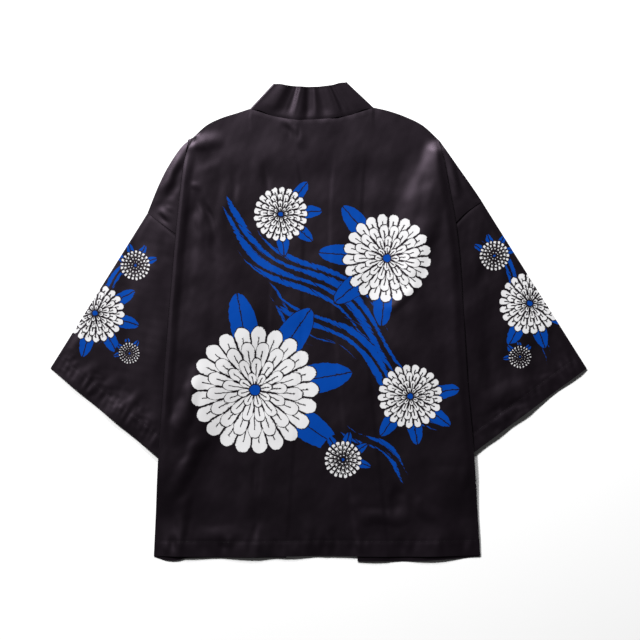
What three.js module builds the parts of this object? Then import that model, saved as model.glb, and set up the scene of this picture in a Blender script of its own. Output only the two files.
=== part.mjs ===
// Kimono cardigan with an open front, a neckband and wide three-quarter sleeves, laid flat on its fronts, back up.
// Millimetres, +Z up. The neckband points to +Y and the hem to -Y, and the origin lies under the outline's middle.
// Each piece is a wall of cloth: its middle surface is worked out from the sizes below and moved out both ways.
// The sleeves are drawn down, so each side has a pleat, and the layers there lie on each other from 0 up to 5:
// front, front's return, front shoulder or sleeve, back shoulder or sleeve, back's return, back.
import * as THREE from "three";

const CLOTH = 1.1; // thickness of one layer of cloth
const BAND = 1.8; // thickness of the neckband, which is sewn double
const SEAM_GAP = 0.35; // clearance across a seam
const CURVED_SEAM_GAP = 0.7; // the same where a curved edge meets one that is divided differently
const LAYER_GAP = 0.6; // clearance from layer to layer
const PITCH = CLOTH + LAYER_GAP; // from one layer's middle to the next
const BAND_WIDTH = 51;
const BAND_TURN = 60; // length over which the front band turns square to its edge, below the neck's crease
const CREASE_INSET = 2; // the middle of the band's crease lies this far inside the outline
const HEM = 20; // height of the turned hem at the bottom and the cuffs
const HEM_RISE = 0.5; // how much thicker the turned hem is
const SETTLE = 70; // distance over which stacked layers come down to the surface
const CUFF_SETTLE = 32; // the same, below the cuff's hidden end
const ROLL = 2.6; // how far the fold at the body's side stands up
const ROLL_WIDTH = 30;
const OVER_BAND = 0.6; // how far the back rises over the front bands
const BAND_EASE = 45; // distance from the shoulder and side seams over which it does so
const SPREAD = 0.12; // how much further the back rises than the fronts where the hem stands up
const LEVEL_ABOVE = 200; // sections above this follow the shoulders and the neck
const LEVEL_BELOW = -300; // sections below this follow the hem
const HEM_LINE = -384; // the back's hem
const NECK_LINE = 300; // where the sections start
const MATERIALS = {
  cloth: { color: 0x1b191c, roughness: 0.62, metalness: 0 },
  band: { color: 0x161517, roughness: 0.45, metalness: 0 },
};

// The two sides, seen from above. out is the distance from the plane x = 0, so x is sign * out.
const LEFT = {
  name: "left",
  sign: -1,
  collar: { out: 73, y: 390.5 }, // top corner of the neckband
  shoulder: [
    { out: 112, y: 348.7 }, // where the neck seam meets the shoulder
    { out: 135, y: 341 },
    { out: 160, y: 333 },
    { out: 184, y: 321 },
    { out: 205.8, y: 301 }, // apex of the side fold
  ],
  drop: [
    { out: 205.8, y: 301 },
    { out: 222, y: 288 },
    { out: 245, y: 255 },
    { out: 262, y: 222 },
    { out: 280, y: 178 }, // top of the armhole seam
  ],
  fold: [
    { out: 205.8, y: 301 },
    { out: 214, y: 280 },
    { out: 220, y: 260 },
    { out: 224, y: 232 },
    { out: 231, y: 171 },
    { out: 239, y: 81 },
    { out: 247.5, y: -19 },
    { out: 256.7, y: -145 },
    { out: 262, y: -222 },
    { out: 269.8, y: -384 },
  ],
  bandSeam: [
    { out: 95.5, y: 300 },
    { out: 83, y: 240 },
    { out: 77, y: 170 },
    { out: 77, y: 90 },
    { out: 81, y: -20 },
    { out: 90, y: -180 },
    { out: 104, y: -384 },
  ],
  armhole: [
    { out: 280, y: 178 },
    { out: 156, y: 86 },
  ],
  cuff: { out: 439.5, y: -76.5 },
};
const RIGHT = {
  name: "right",
  sign: 1,
  collar: { out: 45.4, y: 393 },
  shoulder: [
    { out: 90.4, y: 350.5 },
    { out: 114, y: 345 },
    { out: 142, y: 335.5 },
    { out: 171, y: 321 },
    { out: 197.6, y: 297 },
  ],
  drop: [
    { out: 197.6, y: 297 },
    { out: 206, y: 285 },
    { out: 227, y: 255 },
    { out: 249, y: 224 },
    { out: 267.5, y: 197 },
  ],
  fold: [
    { out: 197.6, y: 297 },
    { out: 203, y: 275 },
    { out: 208, y: 252 },
    { out: 214, y: 220 },
    { out: 222, y: 180 },
    { out: 231, y: 107 },
    { out: 237, y: 20 },
    { out: 244, y: -94 },
    { out: 253, y: -200 },
    { out: 265, y: -384 },
  ],
  bandSeam: [
    { out: 81.6, y: 300 },
    { out: 74, y: 240 },
    { out: 70, y: 170 },
    { out: 71, y: 90 },
    { out: 78, y: -20 },
    { out: 93, y: -180 },
    { out: 115, y: -384 },
  ],
  armhole: [
    { out: 267.5, y: 197 },
    { out: 236, y: 173.5 },
    { out: 156, y: 86 },
  ],
  cuff: { out: 439.5, y: -76.5 },
};

// Hidden ends of the pleat and of the sleeve, the same on both sides.
const ARMHOLE_END = { out: 156, y: 86 }; // where the armhole seam goes round the pleat's inner edge
const SEAM_END = 8; // half the length over which the pleat's edge turns back at that end
const SEAM_END_EASE = 0.8; // power that makes it turn a little faster at first
const UNDERARM = { out: 205, y: 37 }; // where armhole, side and sleeve seams meet
const SIDE_SEAM_TOP = { out: 255, y: -220 }; // below this the side seam is the outline
const SLEEVE_FOLD = { out: 132, y: -17 }; // the sleeve's innermost point
const CUFF_END = { out: 244, y: -237 }; // the cuff's hidden corner

// Inner edge of all that lies hidden below the back, and the sleeve's own underarm edge from armhole to cuff.
const HIDDEN_EDGE = [{ out: 195, y: 250 }, ARMHOLE_END, SLEEVE_FOLD, { out: 170, y: -90 }, CUFF_END];
const UNDERARM_EDGE = [{ out: 159, y: 76 }, { out: 140, y: 30 }, { out: 133.4, y: -17 }, { out: 153, y: -66 }, CUFF_END];

// Sections down a panel, close together where the pleat starts and with one at each seam's end.
const STATIONS = [
  { y: NECK_LINE, steps: 3 },
  { y: 276, steps: 5 },
  { y: 197, steps: 1 },
  { y: 178, steps: 4 },
  { y: ARMHOLE_END.y + SEAM_END, steps: 1 },
  { y: ARMHOLE_END.y, steps: 1 },
  { y: ARMHOLE_END.y - SEAM_END, steps: 2 },
  { y: UNDERARM.y, steps: 8 },
  { y: SIDE_SEAM_TOP.y + 24, steps: 3 },
  { y: SIDE_SEAM_TOP.y, steps: 5 },
  { y: HEM_LINE + HEM + 2, steps: 1 },
  { y: HEM_LINE + HEM, steps: 2 },
  { y: HEM_LINE, steps: 0 },
];

// How the pleat opens below its apex, and closes again above the side seam: from is the distance from that end,
// nested how far the layers stand apart, turn how far the cloth has turned under, in degrees, and straight the flat
// stretch between its two bends.
const PLEAT = [
  { from: 0, nested: 0, turn: 0, straight: 0 },
  { from: 8, nested: 0.5, turn: 60, straight: 0.3 },
  { from: 16, nested: 0.92, turn: 120, straight: 0.8 },
  { from: 24, nested: 1, turn: 180, straight: 0 },
];
const PLEAT_OPEN = 24; // distance from its ends at which the pleat lies flat
const FIRST_WIDTH = 2.6; // width of the pleat there
const BEND_STEPS = 4;
const SHOULDER_STEPS = 3;

// Places where hem and cuffs stand up off the surface, all layers together: soft domes of these half lengths.
const LIFTS = [
  { x: -222, y: -396, along: 62, across: 84, height: 5.5 },
  { x: -118, y: -396, along: 48, across: 60, height: 3 },
  { x: -38, y: -396, along: 40, across: 60, height: 2.5 },
  { x: 92, y: -400, along: 50, across: 60, height: 2.5 },
  { x: 192, y: -398, along: 58, across: 84, height: 4.5 },
  { x: 274, y: -336, along: 46, across: 90, height: 2.5 },
  { x: 418, y: -92, along: 50, across: 52, height: 3.5 },
  { x: 352, y: -142, along: 54, across: 58, height: 4.5 },
  { x: 300, y: -186, along: 44, across: 46, height: 2.5 },
  { x: -400, y: -104, along: 40, across: 44, height: 2.5 },
  { x: -325, y: -160, along: 46, across: 50, height: 4 },
];

// Soft ridges on the upper side, each from one end to the other with a half width and a height.
const BACK_RIDGES = [
  { x1: -196, y1: 288, x2: -138, y2: 306, width: 17, height: 1.8 },
  { x1: -172, y1: 226, x2: -186, y2: -20, width: 26, height: 1.8 },
  { x1: -186, y1: -20, x2: -200, y2: -150, width: 24, height: 2 },
  { x1: -176, y1: -138, x2: -226, y2: -290, width: 26, height: 2.4 },
  { x1: -88, y1: 300, x2: -98, y2: 190, width: 20, height: 1.2 },
  { x1: -40, y1: 322, x2: -24, y2: 296, width: 16, height: 1.6 },
  { x1: 186, y1: 276, x2: 140, y2: 130, width: 30, height: 2.6 },
  { x1: 140, y1: 130, x2: 168, y2: -60, width: 26, height: 1.5 },
  { x1: 66, y1: -314, x2: 190, y2: -300, width: 24, height: 1.8 },
  { x1: -150, y1: -330, x2: -60, y2: -318, width: 20, height: 1.2 },
];
const SLEEVE_RIDGES = [
  { x1: -392, y1: -92, x2: -352, y2: -60, width: 15, height: 1.4 },
  { x1: -358, y1: -120, x2: -316, y2: -84, width: 15, height: 1.8 },
  { x1: -322, y1: -150, x2: -284, y2: -108, width: 14, height: 1.8 },
  { x1: -290, y1: -178, x2: -262, y2: -146, width: 13, height: 1.4 },
  { x1: 262, y1: -140, x2: 372, y2: -92, width: 24, height: 2.2 },
  { x1: 288, y1: -176, x2: 326, y2: -120, width: 15, height: 1.4 },
];
// Soft upright waves across the neckband behind the neck; at is the share of the way from left to right.
const BAND_WAVES = [
  { at: 0.14, width: 0.1, height: 1 },
  { at: 0.36, width: 0.08, height: 2.2 },
  { at: 0.52, width: 0.07, height: 1.4 },
  { at: 0.7, width: 0.1, height: 2 },
];

const clamp = (t) => Math.min(1, Math.max(0, t));
const lerp = (a, b, t) => a + (b - a) * t;
const smooth = (t) => clamp(t) ** 2 * (3 - 2 * clamp(t));
const layer = (index) => CLOTH / 2 + PITCH * index; // height of a layer's middle
const [FRONT_RETURN, BACK_RETURN] = [1, 4]; // layers of the pleat's middle stretch

// A smooth function through a table's rows, from one named column to another; flat beyond its ends.
function curve(rows, from, to) {
  const sorted = [...rows].sort((a, b) => a[from] - b[from]);
  const slopeAt = (i) => {
    const a = sorted[Math.max(0, i - 1)];
    const b = sorted[Math.min(sorted.length - 1, i + 1)];
    return (b[to] - a[to]) / (b[from] - a[from]);
  };
  return (value) => {
    const last = sorted.length - 1;
    if (value <= sorted[0][from]) return sorted[0][to];
    if (value >= sorted[last][from]) return sorted[last][to];
    const i = sorted.findIndex((row) => row[from] > value) - 1;
    const span = sorted[i + 1][from] - sorted[i][from];
    const t = (value - sorted[i][from]) / span;
    const rise = sorted[i + 1][to] - sorted[i][to];
    const start = slopeAt(i) * span;
    const end = slopeAt(i + 1) * span;
    return sorted[i][to] + t * (start + t * (3 * rise - 2 * start - end + t * (start + end - 2 * rise)));
  };
}

for (const side of [LEFT, RIGHT]) {
  side.apex = side.fold[0];
  side.neck = side.shoulder[0];
  side.tip = side.drop[side.drop.length - 1];
  side.foldAt = curve(side.fold, "y", "out");
  side.shoulderAt = curve(side.shoulder, "out", "y");
  side.dropAt = curve(side.drop, "y", "out");
  side.armholeAt = curve(side.armhole, "y", "out");
  side.armholeHeightAt = curve(side.armhole, "out", "y");
  side.bandSeamAt = curve([{ ...side.neck, out: side.neck.out + SEAM_GAP }, ...side.bandSeam], "y", "out");
}
const NECK_SEAM = [
  { x: -LEFT.neck.out, y: LEFT.neck.y },
  { x: -82, y: 339 },
  { x: -46, y: 331.5 },
  { x: -14, y: 331 },
  { x: 22, y: 333.5 },
  { x: 60, y: 341 },
  { x: RIGHT.neck.out, y: RIGHT.neck.y },
];
const neckSeamAt = curve(NECK_SEAM, "x", "y");
const COLLAR_EDGE = [
  { x: -LEFT.collar.out, y: LEFT.collar.y },
  { x: -46, y: 386.5 },
  { x: -15, y: 384.5 },
  { x: 16, y: 386.5 },
  { x: RIGHT.collar.out, y: RIGHT.collar.y },
];
const collarEdgeAt = curve(COLLAR_EDGE, "x", "y");
const HEMS = {
  back: [
    { x: -270, y: -384 },
    { x: -120, y: -385.5 },
    { x: 0, y: -384 },
    { x: 130, y: -385 },
    { x: 265, y: -383 },
  ],
  left: [
    { x: -270, y: -385 },
    { x: -250, y: -391 },
    { x: -232, y: -391.5 },
    { x: -215, y: -387.5 },
    { x: -53, y: -387 },
  ],
  right: [
    { x: 64, y: -393 },
    { x: 160, y: -392.5 },
    { x: 220, y: -389 },
    { x: 265, y: -384.5 },
  ],
};
const hemAt = Object.fromEntries(Object.entries(HEMS).map(([piece, rows]) => [piece, curve(rows, "x", "y")]));

// Heights of the cloth: how far layers are nested at a side, and what covers or lies beside the body there.
const nestedAt = curve(PLEAT, "from", "nested");
const nested = (side, y) => (y < side.apex.y ? clamp(nestedAt(side.apex.y - y)) : 0);

function beside(side, out, y) {
  return nested(side, y) * (1 - smooth((out - side.foldAt(y)) / SETTLE));
}

for (const side of [LEFT, RIGHT]) side.hiddenAt = curve([side.apex, ...HIDDEN_EDGE], "y", "out");

function covering(side, out, y) {
  const across = smooth((out - side.hiddenAt(y) + SETTLE) / SETTLE);
  const down = smooth((y - CUFF_END.y + CUFF_SETTLE) / CUFF_SETTLE);
  return nested(side, y) * across * down;
}

// A flat-topped dome of 1 in its middle and 0 from its edge on; distance is in half widths.
const dome = (distance) => (distance < 1 ? (1 - distance ** 2) ** 2 : 0);

function lift(x, y) {
  return LIFTS.reduce((sum, l) => sum + l.height * dome(Math.hypot((x - l.x) / l.along, (y - l.y) / l.across)), 0);
}

function relief(ridges, x, y) {
  return ridges.reduce((sum, r) => {
    const [dx, dy] = [r.x2 - r.x1, r.y2 - r.y1];
    const length = Math.hypot(dx, dy);
    const t = clamp(((x - r.x1) * dx + (y - r.y1) * dy) / length ** 2);
    const off = Math.hypot(x - r.x1 - t * dx, y - r.y1 - t * dy);
    return sum + r.height * dome(off / r.width);
  }, 0);
}

// How far the back has risen over the front bands, from 0 at the shoulder and side seams to 1 inside.
function overFronts(side, out, y) {
  const fromShoulder = out > side.neck.out ? side.shoulderAt(out) - y : BAND_EASE;
  return smooth(Math.min(fromShoulder, side.foldAt(y) - out) / BAND_EASE);
}

// The roll that stands along the body's folded side and ends where the side seam starts.
function roll(side, out, y) {
  const down = smooth((side.apex.y - y) / SETTLE) * smooth((y - SIDE_SEAM_TOP.y) / SETTLE);
  return ROLL * down * dome(Math.max(0, side.foldAt(y) - out) / ROLL_WIDTH);
}

function backHeight(x, y) {
  const side = x < 0 ? LEFT : RIGHT;
  const out = Math.abs(x);
  const stack = layer(1 + 4 * covering(side, out, y));
  const humps = roll(side, out, y) + OVER_BAND * overFronts(side, out, y) + relief(BACK_RIDGES, x, y);
  return stack + humps + lift(x, y) * (1 + SPREAD);
}

const frontHeight = (x, y) => layer(0) + lift(x, y);

// The better diagonal of a four-sided face scores more: the shorter one, or of two alike the one that runs up and
// outwards, so that layers which lie on each other are divided alike.
const ALIKE = 0.1;
function diagonal(a, b) {
  const along = Math.sign((Math.abs(b.x) - Math.abs(a.x)) * (b.y - a.y));
  return -a.distanceTo(b) * (1 - ALIKE * along);
}

// The wall round a middle surface given as rows of points. Points that coincide are one, so a row may narrow to
// nothing; rise adds to the outer side. Rows run down and points run to +X where the outer side faces up.
function wall(rows, thickness, { closed = false, rise = () => 0 } = {}) {
  const points = [];
  const found = new Map();
  const indexOf = (p) => {
    const key = p.toArray().map((v) => v.toFixed(2)).join();
    if (!found.has(key)) found.set(key, points.push(p) - 1);
    return found.get(key);
  };
  const grid = rows.map((row) => row.map(indexOf));
  const faces = [];
  const addFace = (...face) => new Set(face).size === 3 && faces.push(face);
  for (let i = 0; i + 1 < grid.length; i++) {
    const width = grid[i].length;
    for (let j = 0; j < (closed ? width : width - 1); j++) {
      const next = (j + 1) % width;
      const [a, b, c, d] = [grid[i][j], grid[i + 1][j], grid[i + 1][next], grid[i][next]];
      if (diagonal(points[a], points[c]) > diagonal(points[b], points[d])) {
        addFace(a, b, c);
        addFace(a, c, d);
      } else {
        addFace(a, b, d);
        addFace(b, c, d);
      }
    }
  }
  const normals = points.map(() => new THREE.Vector3());
  for (const [a, b, c] of faces) {
    const ab = points[b].clone().sub(points[a]);
    const normal = ab.cross(points[c].clone().sub(points[a]));
    for (const corner of [a, b, c]) normals[corner].add(normal);
  }
  normals.forEach((normal) => normal.normalize());
  const outer = points.map((p, i) => p.clone().addScaledVector(normals[i], thickness / 2 + rise(p)));
  const inner = points.map((p, i) => p.clone().addScaledVector(normals[i], -thickness / 2));
  const edges = new Set(faces.flatMap(([a, b, c]) => [`${a},${b}`, `${b},${c}`, `${c},${a}`]));
  const shift = points.length;
  const triangles = faces.flatMap(([a, b, c]) => [a, b, c, a + shift, c + shift, b + shift]);
  for (const edge of edges) {
    const [a, b] = edge.split(",").map(Number);
    if (!edges.has(`${b},${a}`)) triangles.push(b, a, a + shift, b, a + shift, b + shift);
  }
  const geometry = new THREE.BufferGeometry().setFromPoints([...outer, ...inner]);
  geometry.setIndex(triangles);
  geometry.computeVertexNormals();
  return geometry;
}

const sections = STATIONS.flatMap(({ y, steps }, i) =>
  steps ? Array.from({ length: steps }, (_, k) => lerp(y, STATIONS[i + 1].y, k / steps)) : [y],
);

// Height of a section at x: the first ones follow the panel's top edge and the last ones its hem.
function sectionHeight(section, top, hem) {
  const up = clamp((section - LEVEL_ABOVE) / (NECK_LINE - LEVEL_ABOVE));
  const down = clamp((LEVEL_BELOW - section) / (LEVEL_BELOW - HEM_LINE));
  return section + up * (top - NECK_LINE) + down * (hem - HEM_LINE);
}

// The pleat at one side of a section, from the panel's edge outwards, as points in the plane of out and z.
// returned is the layer of its middle stretch. down is -1 for the back, whose cloth turns under, and 1 for a front.
function pleat(side, y, returned, down) {
  const fold = side.foldAt(y);
  const fromEnd = Math.min(side.apex.y - y, y - SIDE_SEAM_TOP.y);
  const opening = PLEAT.find((row) => row.from > fromEnd - 1) ?? PLEAT[PLEAT.length - 1];
  const open = opening.turn === 180;
  const seam = y - ARMHOLE_END.y;
  const shoulder = seam > -1;
  const panelAt = (out) => (down < 0 ? backHeight : frontHeight)(side.sign * out, y);
  const shoulderAt = (out) => layer((down < 0 ? 1 : 0) + 2 * beside(side, out, y)) + lift(side.sign * out, y);
  const returnAt = (out) => layer(returned) + lift(side.sign * out, y);

  const turn = THREE.MathUtils.degToRad(opening.turn);
  let { straight } = opening;
  let radius = Math.abs(panelAt(fold) - returnAt(fold)) / 2;
  let secondRadius = PITCH / 2;
  if (open) {
    const inner = shoulder ? pleatInner(side, y) + secondRadius : hiddenReturn(y);
    straight = Math.max(0, fold - radius - inner);
  } else if (shoulder && turn) {
    const drop = Math.abs(panelAt(fold) - shoulderAt(fold));
    radius = (drop - straight * Math.sin(turn)) / (2 * (1 - Math.cos(turn)));
    secondRadius = radius;
  }

  const at = { out: fold - radius * Math.sin(Math.min(turn, Math.PI / 2)), heading: 0 };
  at.z = panelAt(at.out);
  const path = [{ ...at }];
  const walk = (length, angle) => {
    at.heading += angle / 2;
    at.out += length * Math.cos(at.heading);
    at.z += length * Math.sin(at.heading) * down;
    at.heading += angle / 2;
    path.push({ out: at.out, z: at.z });
  };
  const bend = (size, angle) => {
    const step = angle / BEND_STEPS;
    for (let k = 0; k < BEND_STEPS; k++) walk(2 * size * Math.sin(Math.abs(step) / 2), step);
  };
  bend(radius, turn);
  walk(turn ? straight : 0, 0);
  if (shoulder) bend(secondRadius, -turn * clamp((seam + SEAM_END) / (2 * SEAM_END)) ** SEAM_END_EASE);
  const end = path[path.length - 1];
  const lastOut = Math.max(end.out, y > side.tip.y ? side.dropAt(y) : side.armholeAt(y));
  for (let k = path.length; k <= 2 * BEND_STEPS + 1; k++) path.push({ ...end });
  for (let k = 1; k <= SHOULDER_STEPS; k++) {
    const out = lerp(end.out, lastOut, k / SHOULDER_STEPS);
    path.push(seam > SEAM_END + 1 && out > end.out ? { out, z: shoulderAt(out) } : { ...end });
  }
  return path.map((p) => new THREE.Vector3(side.sign * p.out, y, p.z));
}

// Plan positions of the hidden edges: the pleat's inner edge, and the end of its return.
function pleatInner(side, y) {
  const top = side.apex.y - PLEAT_OPEN;
  return lerp(ARMHOLE_END.out, side.foldAt(top) - FIRST_WIDTH, (y - ARMHOLE_END.y) / (top - ARMHOLE_END.y));
}

function hiddenReturn(y) {
  if (y > UNDERARM.y) {
    return lerp(UNDERARM.out, ARMHOLE_END.out, (y - UNDERARM.y) / (ARMHOLE_END.y - SEAM_END - UNDERARM.y));
  }
  return lerp(SIDE_SEAM_TOP.out, UNDERARM.out, (y - SIDE_SEAM_TOP.y) / (UNDERARM.y - SIDE_SEAM_TOP.y));
}

// The back: one section after another, each running from the left armhole, round the pleats and over the middle.
const BACK_SHARES = [0.02, 0.045, 0.08, 0.115, 0.155, 0.2, 0.25, 0.31, 0.37, 0.43];
function backPanel() {
  const shares = [...BACK_SHARES, 0.5, ...BACK_SHARES.map((share) => 1 - share).reverse()];
  const topAt = (x) => {
    if (x < -LEFT.neck.out) return LEFT.shoulderAt(-x);
    return x > RIGHT.neck.out ? RIGHT.shoulderAt(x) : neckSeamAt(x) - CURVED_SEAM_GAP;
  };
  const rows = sections.map((section) => {
    const ends = [LEFT, RIGHT].map((side) => {
      const edge = side.sign * side.foldAt(section);
      return pleat(side, sectionHeight(section, side.apex.y, hemAt.back(edge)), BACK_RETURN, -1);
    });
    const [from, to] = ends.map((path) => path[0]);
    const middle = shares.map((share) => {
      const x = lerp(from.x, to.x, share);
      const y = sectionHeight(section, topAt(x), hemAt.back(x));
      return new THREE.Vector3(x, y, backHeight(x, y));
    });
    return [...ends[0].reverse(), ...middle, ...ends[1]];
  });
  const hemTop = HEM_LINE + HEM + 1;
  return wall(rows, CLOTH, { rise: (p) => (p.y < hemTop ? HEM_RISE : 0) });
}

// A front: from the band's seam outwards to the pleat, which turns up between front and back.
const FRONT_SHARES = [0, 0.14, 0.28, 0.43, 0.58, 0.72, 0.83, 0.93];
function frontPanel(side) {
  const hem = hemAt[side.name];
  const rows = sections.map((section) => {
    const edge = side.sign * side.foldAt(section);
    const path = pleat(side, sectionHeight(section, side.apex.y, hem(edge)), FRONT_RETURN, 1);
    const outer = Math.abs(path[0].x);
    const panel = FRONT_SHARES.map((share) => {
      const rough = lerp(side.bandSeamAt(section), outer, share);
      const atTop = lerp(side.neck.out, side.apex.out, share);
      const y = sectionHeight(section, side.shoulderAt(atTop), hem(side.sign * rough));
      const out = lerp(side.bandSeamAt(y) + SEAM_GAP, outer, share);
      return new THREE.Vector3(side.sign * out, y, frontHeight(side.sign * out, y));
    });
    return [...panel, ...path];
  });
  return wall(side.sign > 0 ? rows.map((row) => row.reverse()) : rows, CLOTH);
}

// A sleeve: a flat tube, open at the armhole and the cuff, folded along its top and sewn along the underarm.
const SLEEVE_ROWS = 14;
const SLEEVE_COLUMNS = 11;
const TUBE_STEPS = 3;
const TOP_EASE = 20; // distance from the sleeve's top fold over which its ridges begin
const ARMHOLE_FADE = 0.25; // share of the sleeve's length over which its rows straighten below a curved armhole
function sleeve(side) {
  const inset = PITCH / 2 + CLOTH / 2;
  const point = ({ out, y }) => new THREE.Vector2(out, y);
  const along = point(side.cuff).sub(point(side.tip)).normalize();
  const inward = new THREE.Vector2(-along.y, along.x).multiplyScalar(-1);
  const start = point(side.tip).addScaledVector(along, CURVED_SEAM_GAP).addScaledVector(inward, inset);
  const end = point(side.cuff).addScaledVector(inward, inset);
  const underarm = new THREE.SplineCurve(UNDERARM_EDGE.map(point));
  const rows = [];
  for (let i = 0; i <= SLEEVE_ROWS; i++) {
    const share = i / SLEEVE_ROWS;
    const top = start.clone().lerp(end, share);
    const bottom = underarm.getPointAt(share);
    const tangent = underarm.getTangentAt(share);
    const ring = [];
    const straight = (out) => lerp(side.tip.y, ARMHOLE_END.y, (side.tip.out - out) / (side.tip.out - ARMHOLE_END.out));
    const planAt = (j) => {
      const plan = top.clone().lerp(bottom, j / SLEEVE_COLUMNS);
      const out = lerp(side.tip.out, ARMHOLE_END.out, j / SLEEVE_COLUMNS);
      plan.y += (side.armholeHeightAt(out) - straight(out)) * clamp(1 - share / ARMHOLE_FADE);
      return plan;
    };
    const place = (plan, height) => {
      const x = side.sign * plan.x;
      const base = beside(side, plan.x, plan.y);
      ring.push(new THREE.Vector3(x, plan.y, height(base, x, plan.y) + lift(x, plan.y)));
    };
    const upper = (base, x, y) => {
      const edge = Math.min(1, top.distanceTo(new THREE.Vector2(side.sign * x, y)) / TOP_EASE);
      return layer(1 + 2 * base) + relief(SLEEVE_RIDGES, x, y) * edge;
    };
    const lower = (base) => layer(2 * base);
    const turn = (plan, outward, from) => {
      for (let k = 1; k <= TUBE_STEPS; k++) {
        const angle = Math.PI * (0.5 - k / (TUBE_STEPS + 1)) * from;
        const spot = plan.clone().addScaledVector(outward, (PITCH / 2) * Math.cos(angle));
        place(spot, (base) => (upper(base, 0, 0) + lower(base)) / 2 + (PITCH / 2) * Math.sin(angle));
      }
    };
    for (let j = 0; j <= SLEEVE_COLUMNS; j++) place(planAt(j), upper);
    turn(bottom, new THREE.Vector2(tangent.y, -tangent.x), 1);
    for (let j = SLEEVE_COLUMNS; j >= 0; j--) place(planAt(j), lower);
    turn(top, inward.clone().negate(), -1);
    rows.push(ring);
  }
  return wall(side.sign > 0 ? rows.map((row) => row.reverse()) : rows, CLOTH, { closed: true });
}

// The neckband: a strip from one front hem up to the neck, folded over at the crease, across the back and down.
const BAND_COLUMNS = 3;
const BAND_BACK_STEPS = 16;
const BAND_ENDS = 0.17; // share of the back's stretch over which the band follows its straight creases
const CREASE_STEPS = 5;
function neckband() {
  const lower = BAND / 2;
  const upper = lower + BAND + LAYER_GAP;
  const creases = [LEFT, RIGHT].map((side) => {
    const foot = new THREE.Vector2(side.sign * side.neck.out, side.neck.y);
    const head = new THREE.Vector2(side.sign * side.collar.out, side.collar.y);
    const run = head.clone().sub(foot);
    const outward = new THREE.Vector2(run.y, -run.x).normalize().multiplyScalar(side.sign);
    const shift = outward.clone().multiplyScalar(-CREASE_INSET);
    return { foot: foot.add(shift), head: head.add(shift), outward };
  });
  const strip = (foot, head, height) =>
    Array.from({ length: BAND_COLUMNS + 1 }, (_, k) => {
      const plan = foot.clone().lerp(head, k / BAND_COLUMNS);
      return new THREE.Vector3(plan.x, plan.y, height(plan));
    });
  const frontStrips = (side, crease) => {
    const run = crease.head.clone().sub(crease.foot);
    const hem = hemAt[side.name];
    return sections.map((section) => {
      const y = sectionHeight(section, crease.foot.y, hem(side.sign * side.bandSeamAt(section)));
      const share = smooth((crease.foot.y - y) / BAND_TURN);
      const seam = side.bandSeamAt(y);
      const out = Math.min(seam, lerp(Math.abs(crease.foot.x), seam, share));
      const slope = (side.bandSeamAt(y + 1) - side.bandSeamAt(y - 1)) / 2;
      const square = new THREE.Vector2(-side.sign, slope).normalize().multiplyScalar(BAND_WIDTH);
      const toHem = smooth((LEVEL_BELOW - y) / (LEVEL_BELOW - HEM_LINE));
      square.y *= 1 - toHem;
      const foot = new THREE.Vector2(side.sign * out, y);
      const head = foot.clone().add(run.clone().lerp(square, share));
      return strip(foot, head, (plan) => lower + lift(plan.x, plan.y));
    });
  };
  const creaseStrips = ({ foot, head, outward }) =>
    Array.from({ length: CREASE_STEPS }, (_, k) => {
      const angle = Math.PI * ((k + 1) / (CREASE_STEPS + 1) - 0.5);
      const radius = (upper - lower) / 2;
      const shift = outward.clone().multiplyScalar(radius * Math.cos(angle));
      const height = (upper + lower) / 2 + radius * Math.sin(angle);
      return strip(foot.clone().add(shift), head.clone().add(shift), () => height);
    });
  const [left, right] = creases;
  const backStrips = Array.from({ length: BAND_BACK_STEPS + 1 }, (_, k) => {
    const share = k / BAND_BACK_STEPS;
    const footX = lerp(left.foot.x, right.foot.x, share);
    const headX = lerp(left.head.x, right.head.x, share);
    const inEnds = smooth(Math.min(share, 1 - share) / BAND_ENDS);
    const footY = lerp(lerp(left.foot.y, right.foot.y, share), neckSeamAt(footX), inEnds);
    const headY = lerp(lerp(left.head.y, right.head.y, share), collarEdgeAt(headX), inEnds);
    const wave = BAND_WAVES.reduce((sum, w) => sum + w.height * dome(Math.abs(share - w.at) / w.width), 0);
    return strip(new THREE.Vector2(footX, footY), new THREE.Vector2(headX, headY), () => upper + wave);
  });
  const rows = [
    ...frontStrips(LEFT, left).reverse(),
    ...creaseStrips(left),
    ...backStrips,
    ...creaseStrips(right).reverse(),
    ...frontStrips(RIGHT, right),
  ];
  return wall(rows.map((row) => row.reverse()), BAND);
}

const cloth = new THREE.MeshStandardMaterial(MATERIALS.cloth);
const band = new THREE.MeshStandardMaterial(MATERIALS.band);
const cardigan = new THREE.Group();
function add(name, geometry, material) {
  const mesh = new THREE.Mesh(geometry, material.clone());
  mesh.name = name;
  cardigan.add(mesh);
}
add("back", backPanel(), cloth);
for (const side of [LEFT, RIGHT]) {
  add(`front_${side.name}`, frontPanel(side), cloth);
  add(`sleeve_${side.name}`, sleeve(side), cloth);
}
add("neckband", neckband(), band);

export default cardigan;
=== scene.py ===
"""A kimono cardigan laid flat, back up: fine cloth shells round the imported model, print, sewing and light.

Sizes are millimetres, as in the garment's own drawing, and MM turns them into the frame's metres.
x runs to the wearer's right cuff, y from the hem to the neckband, and z up through the layers.
"""
import math
from collections import namedtuple

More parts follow.
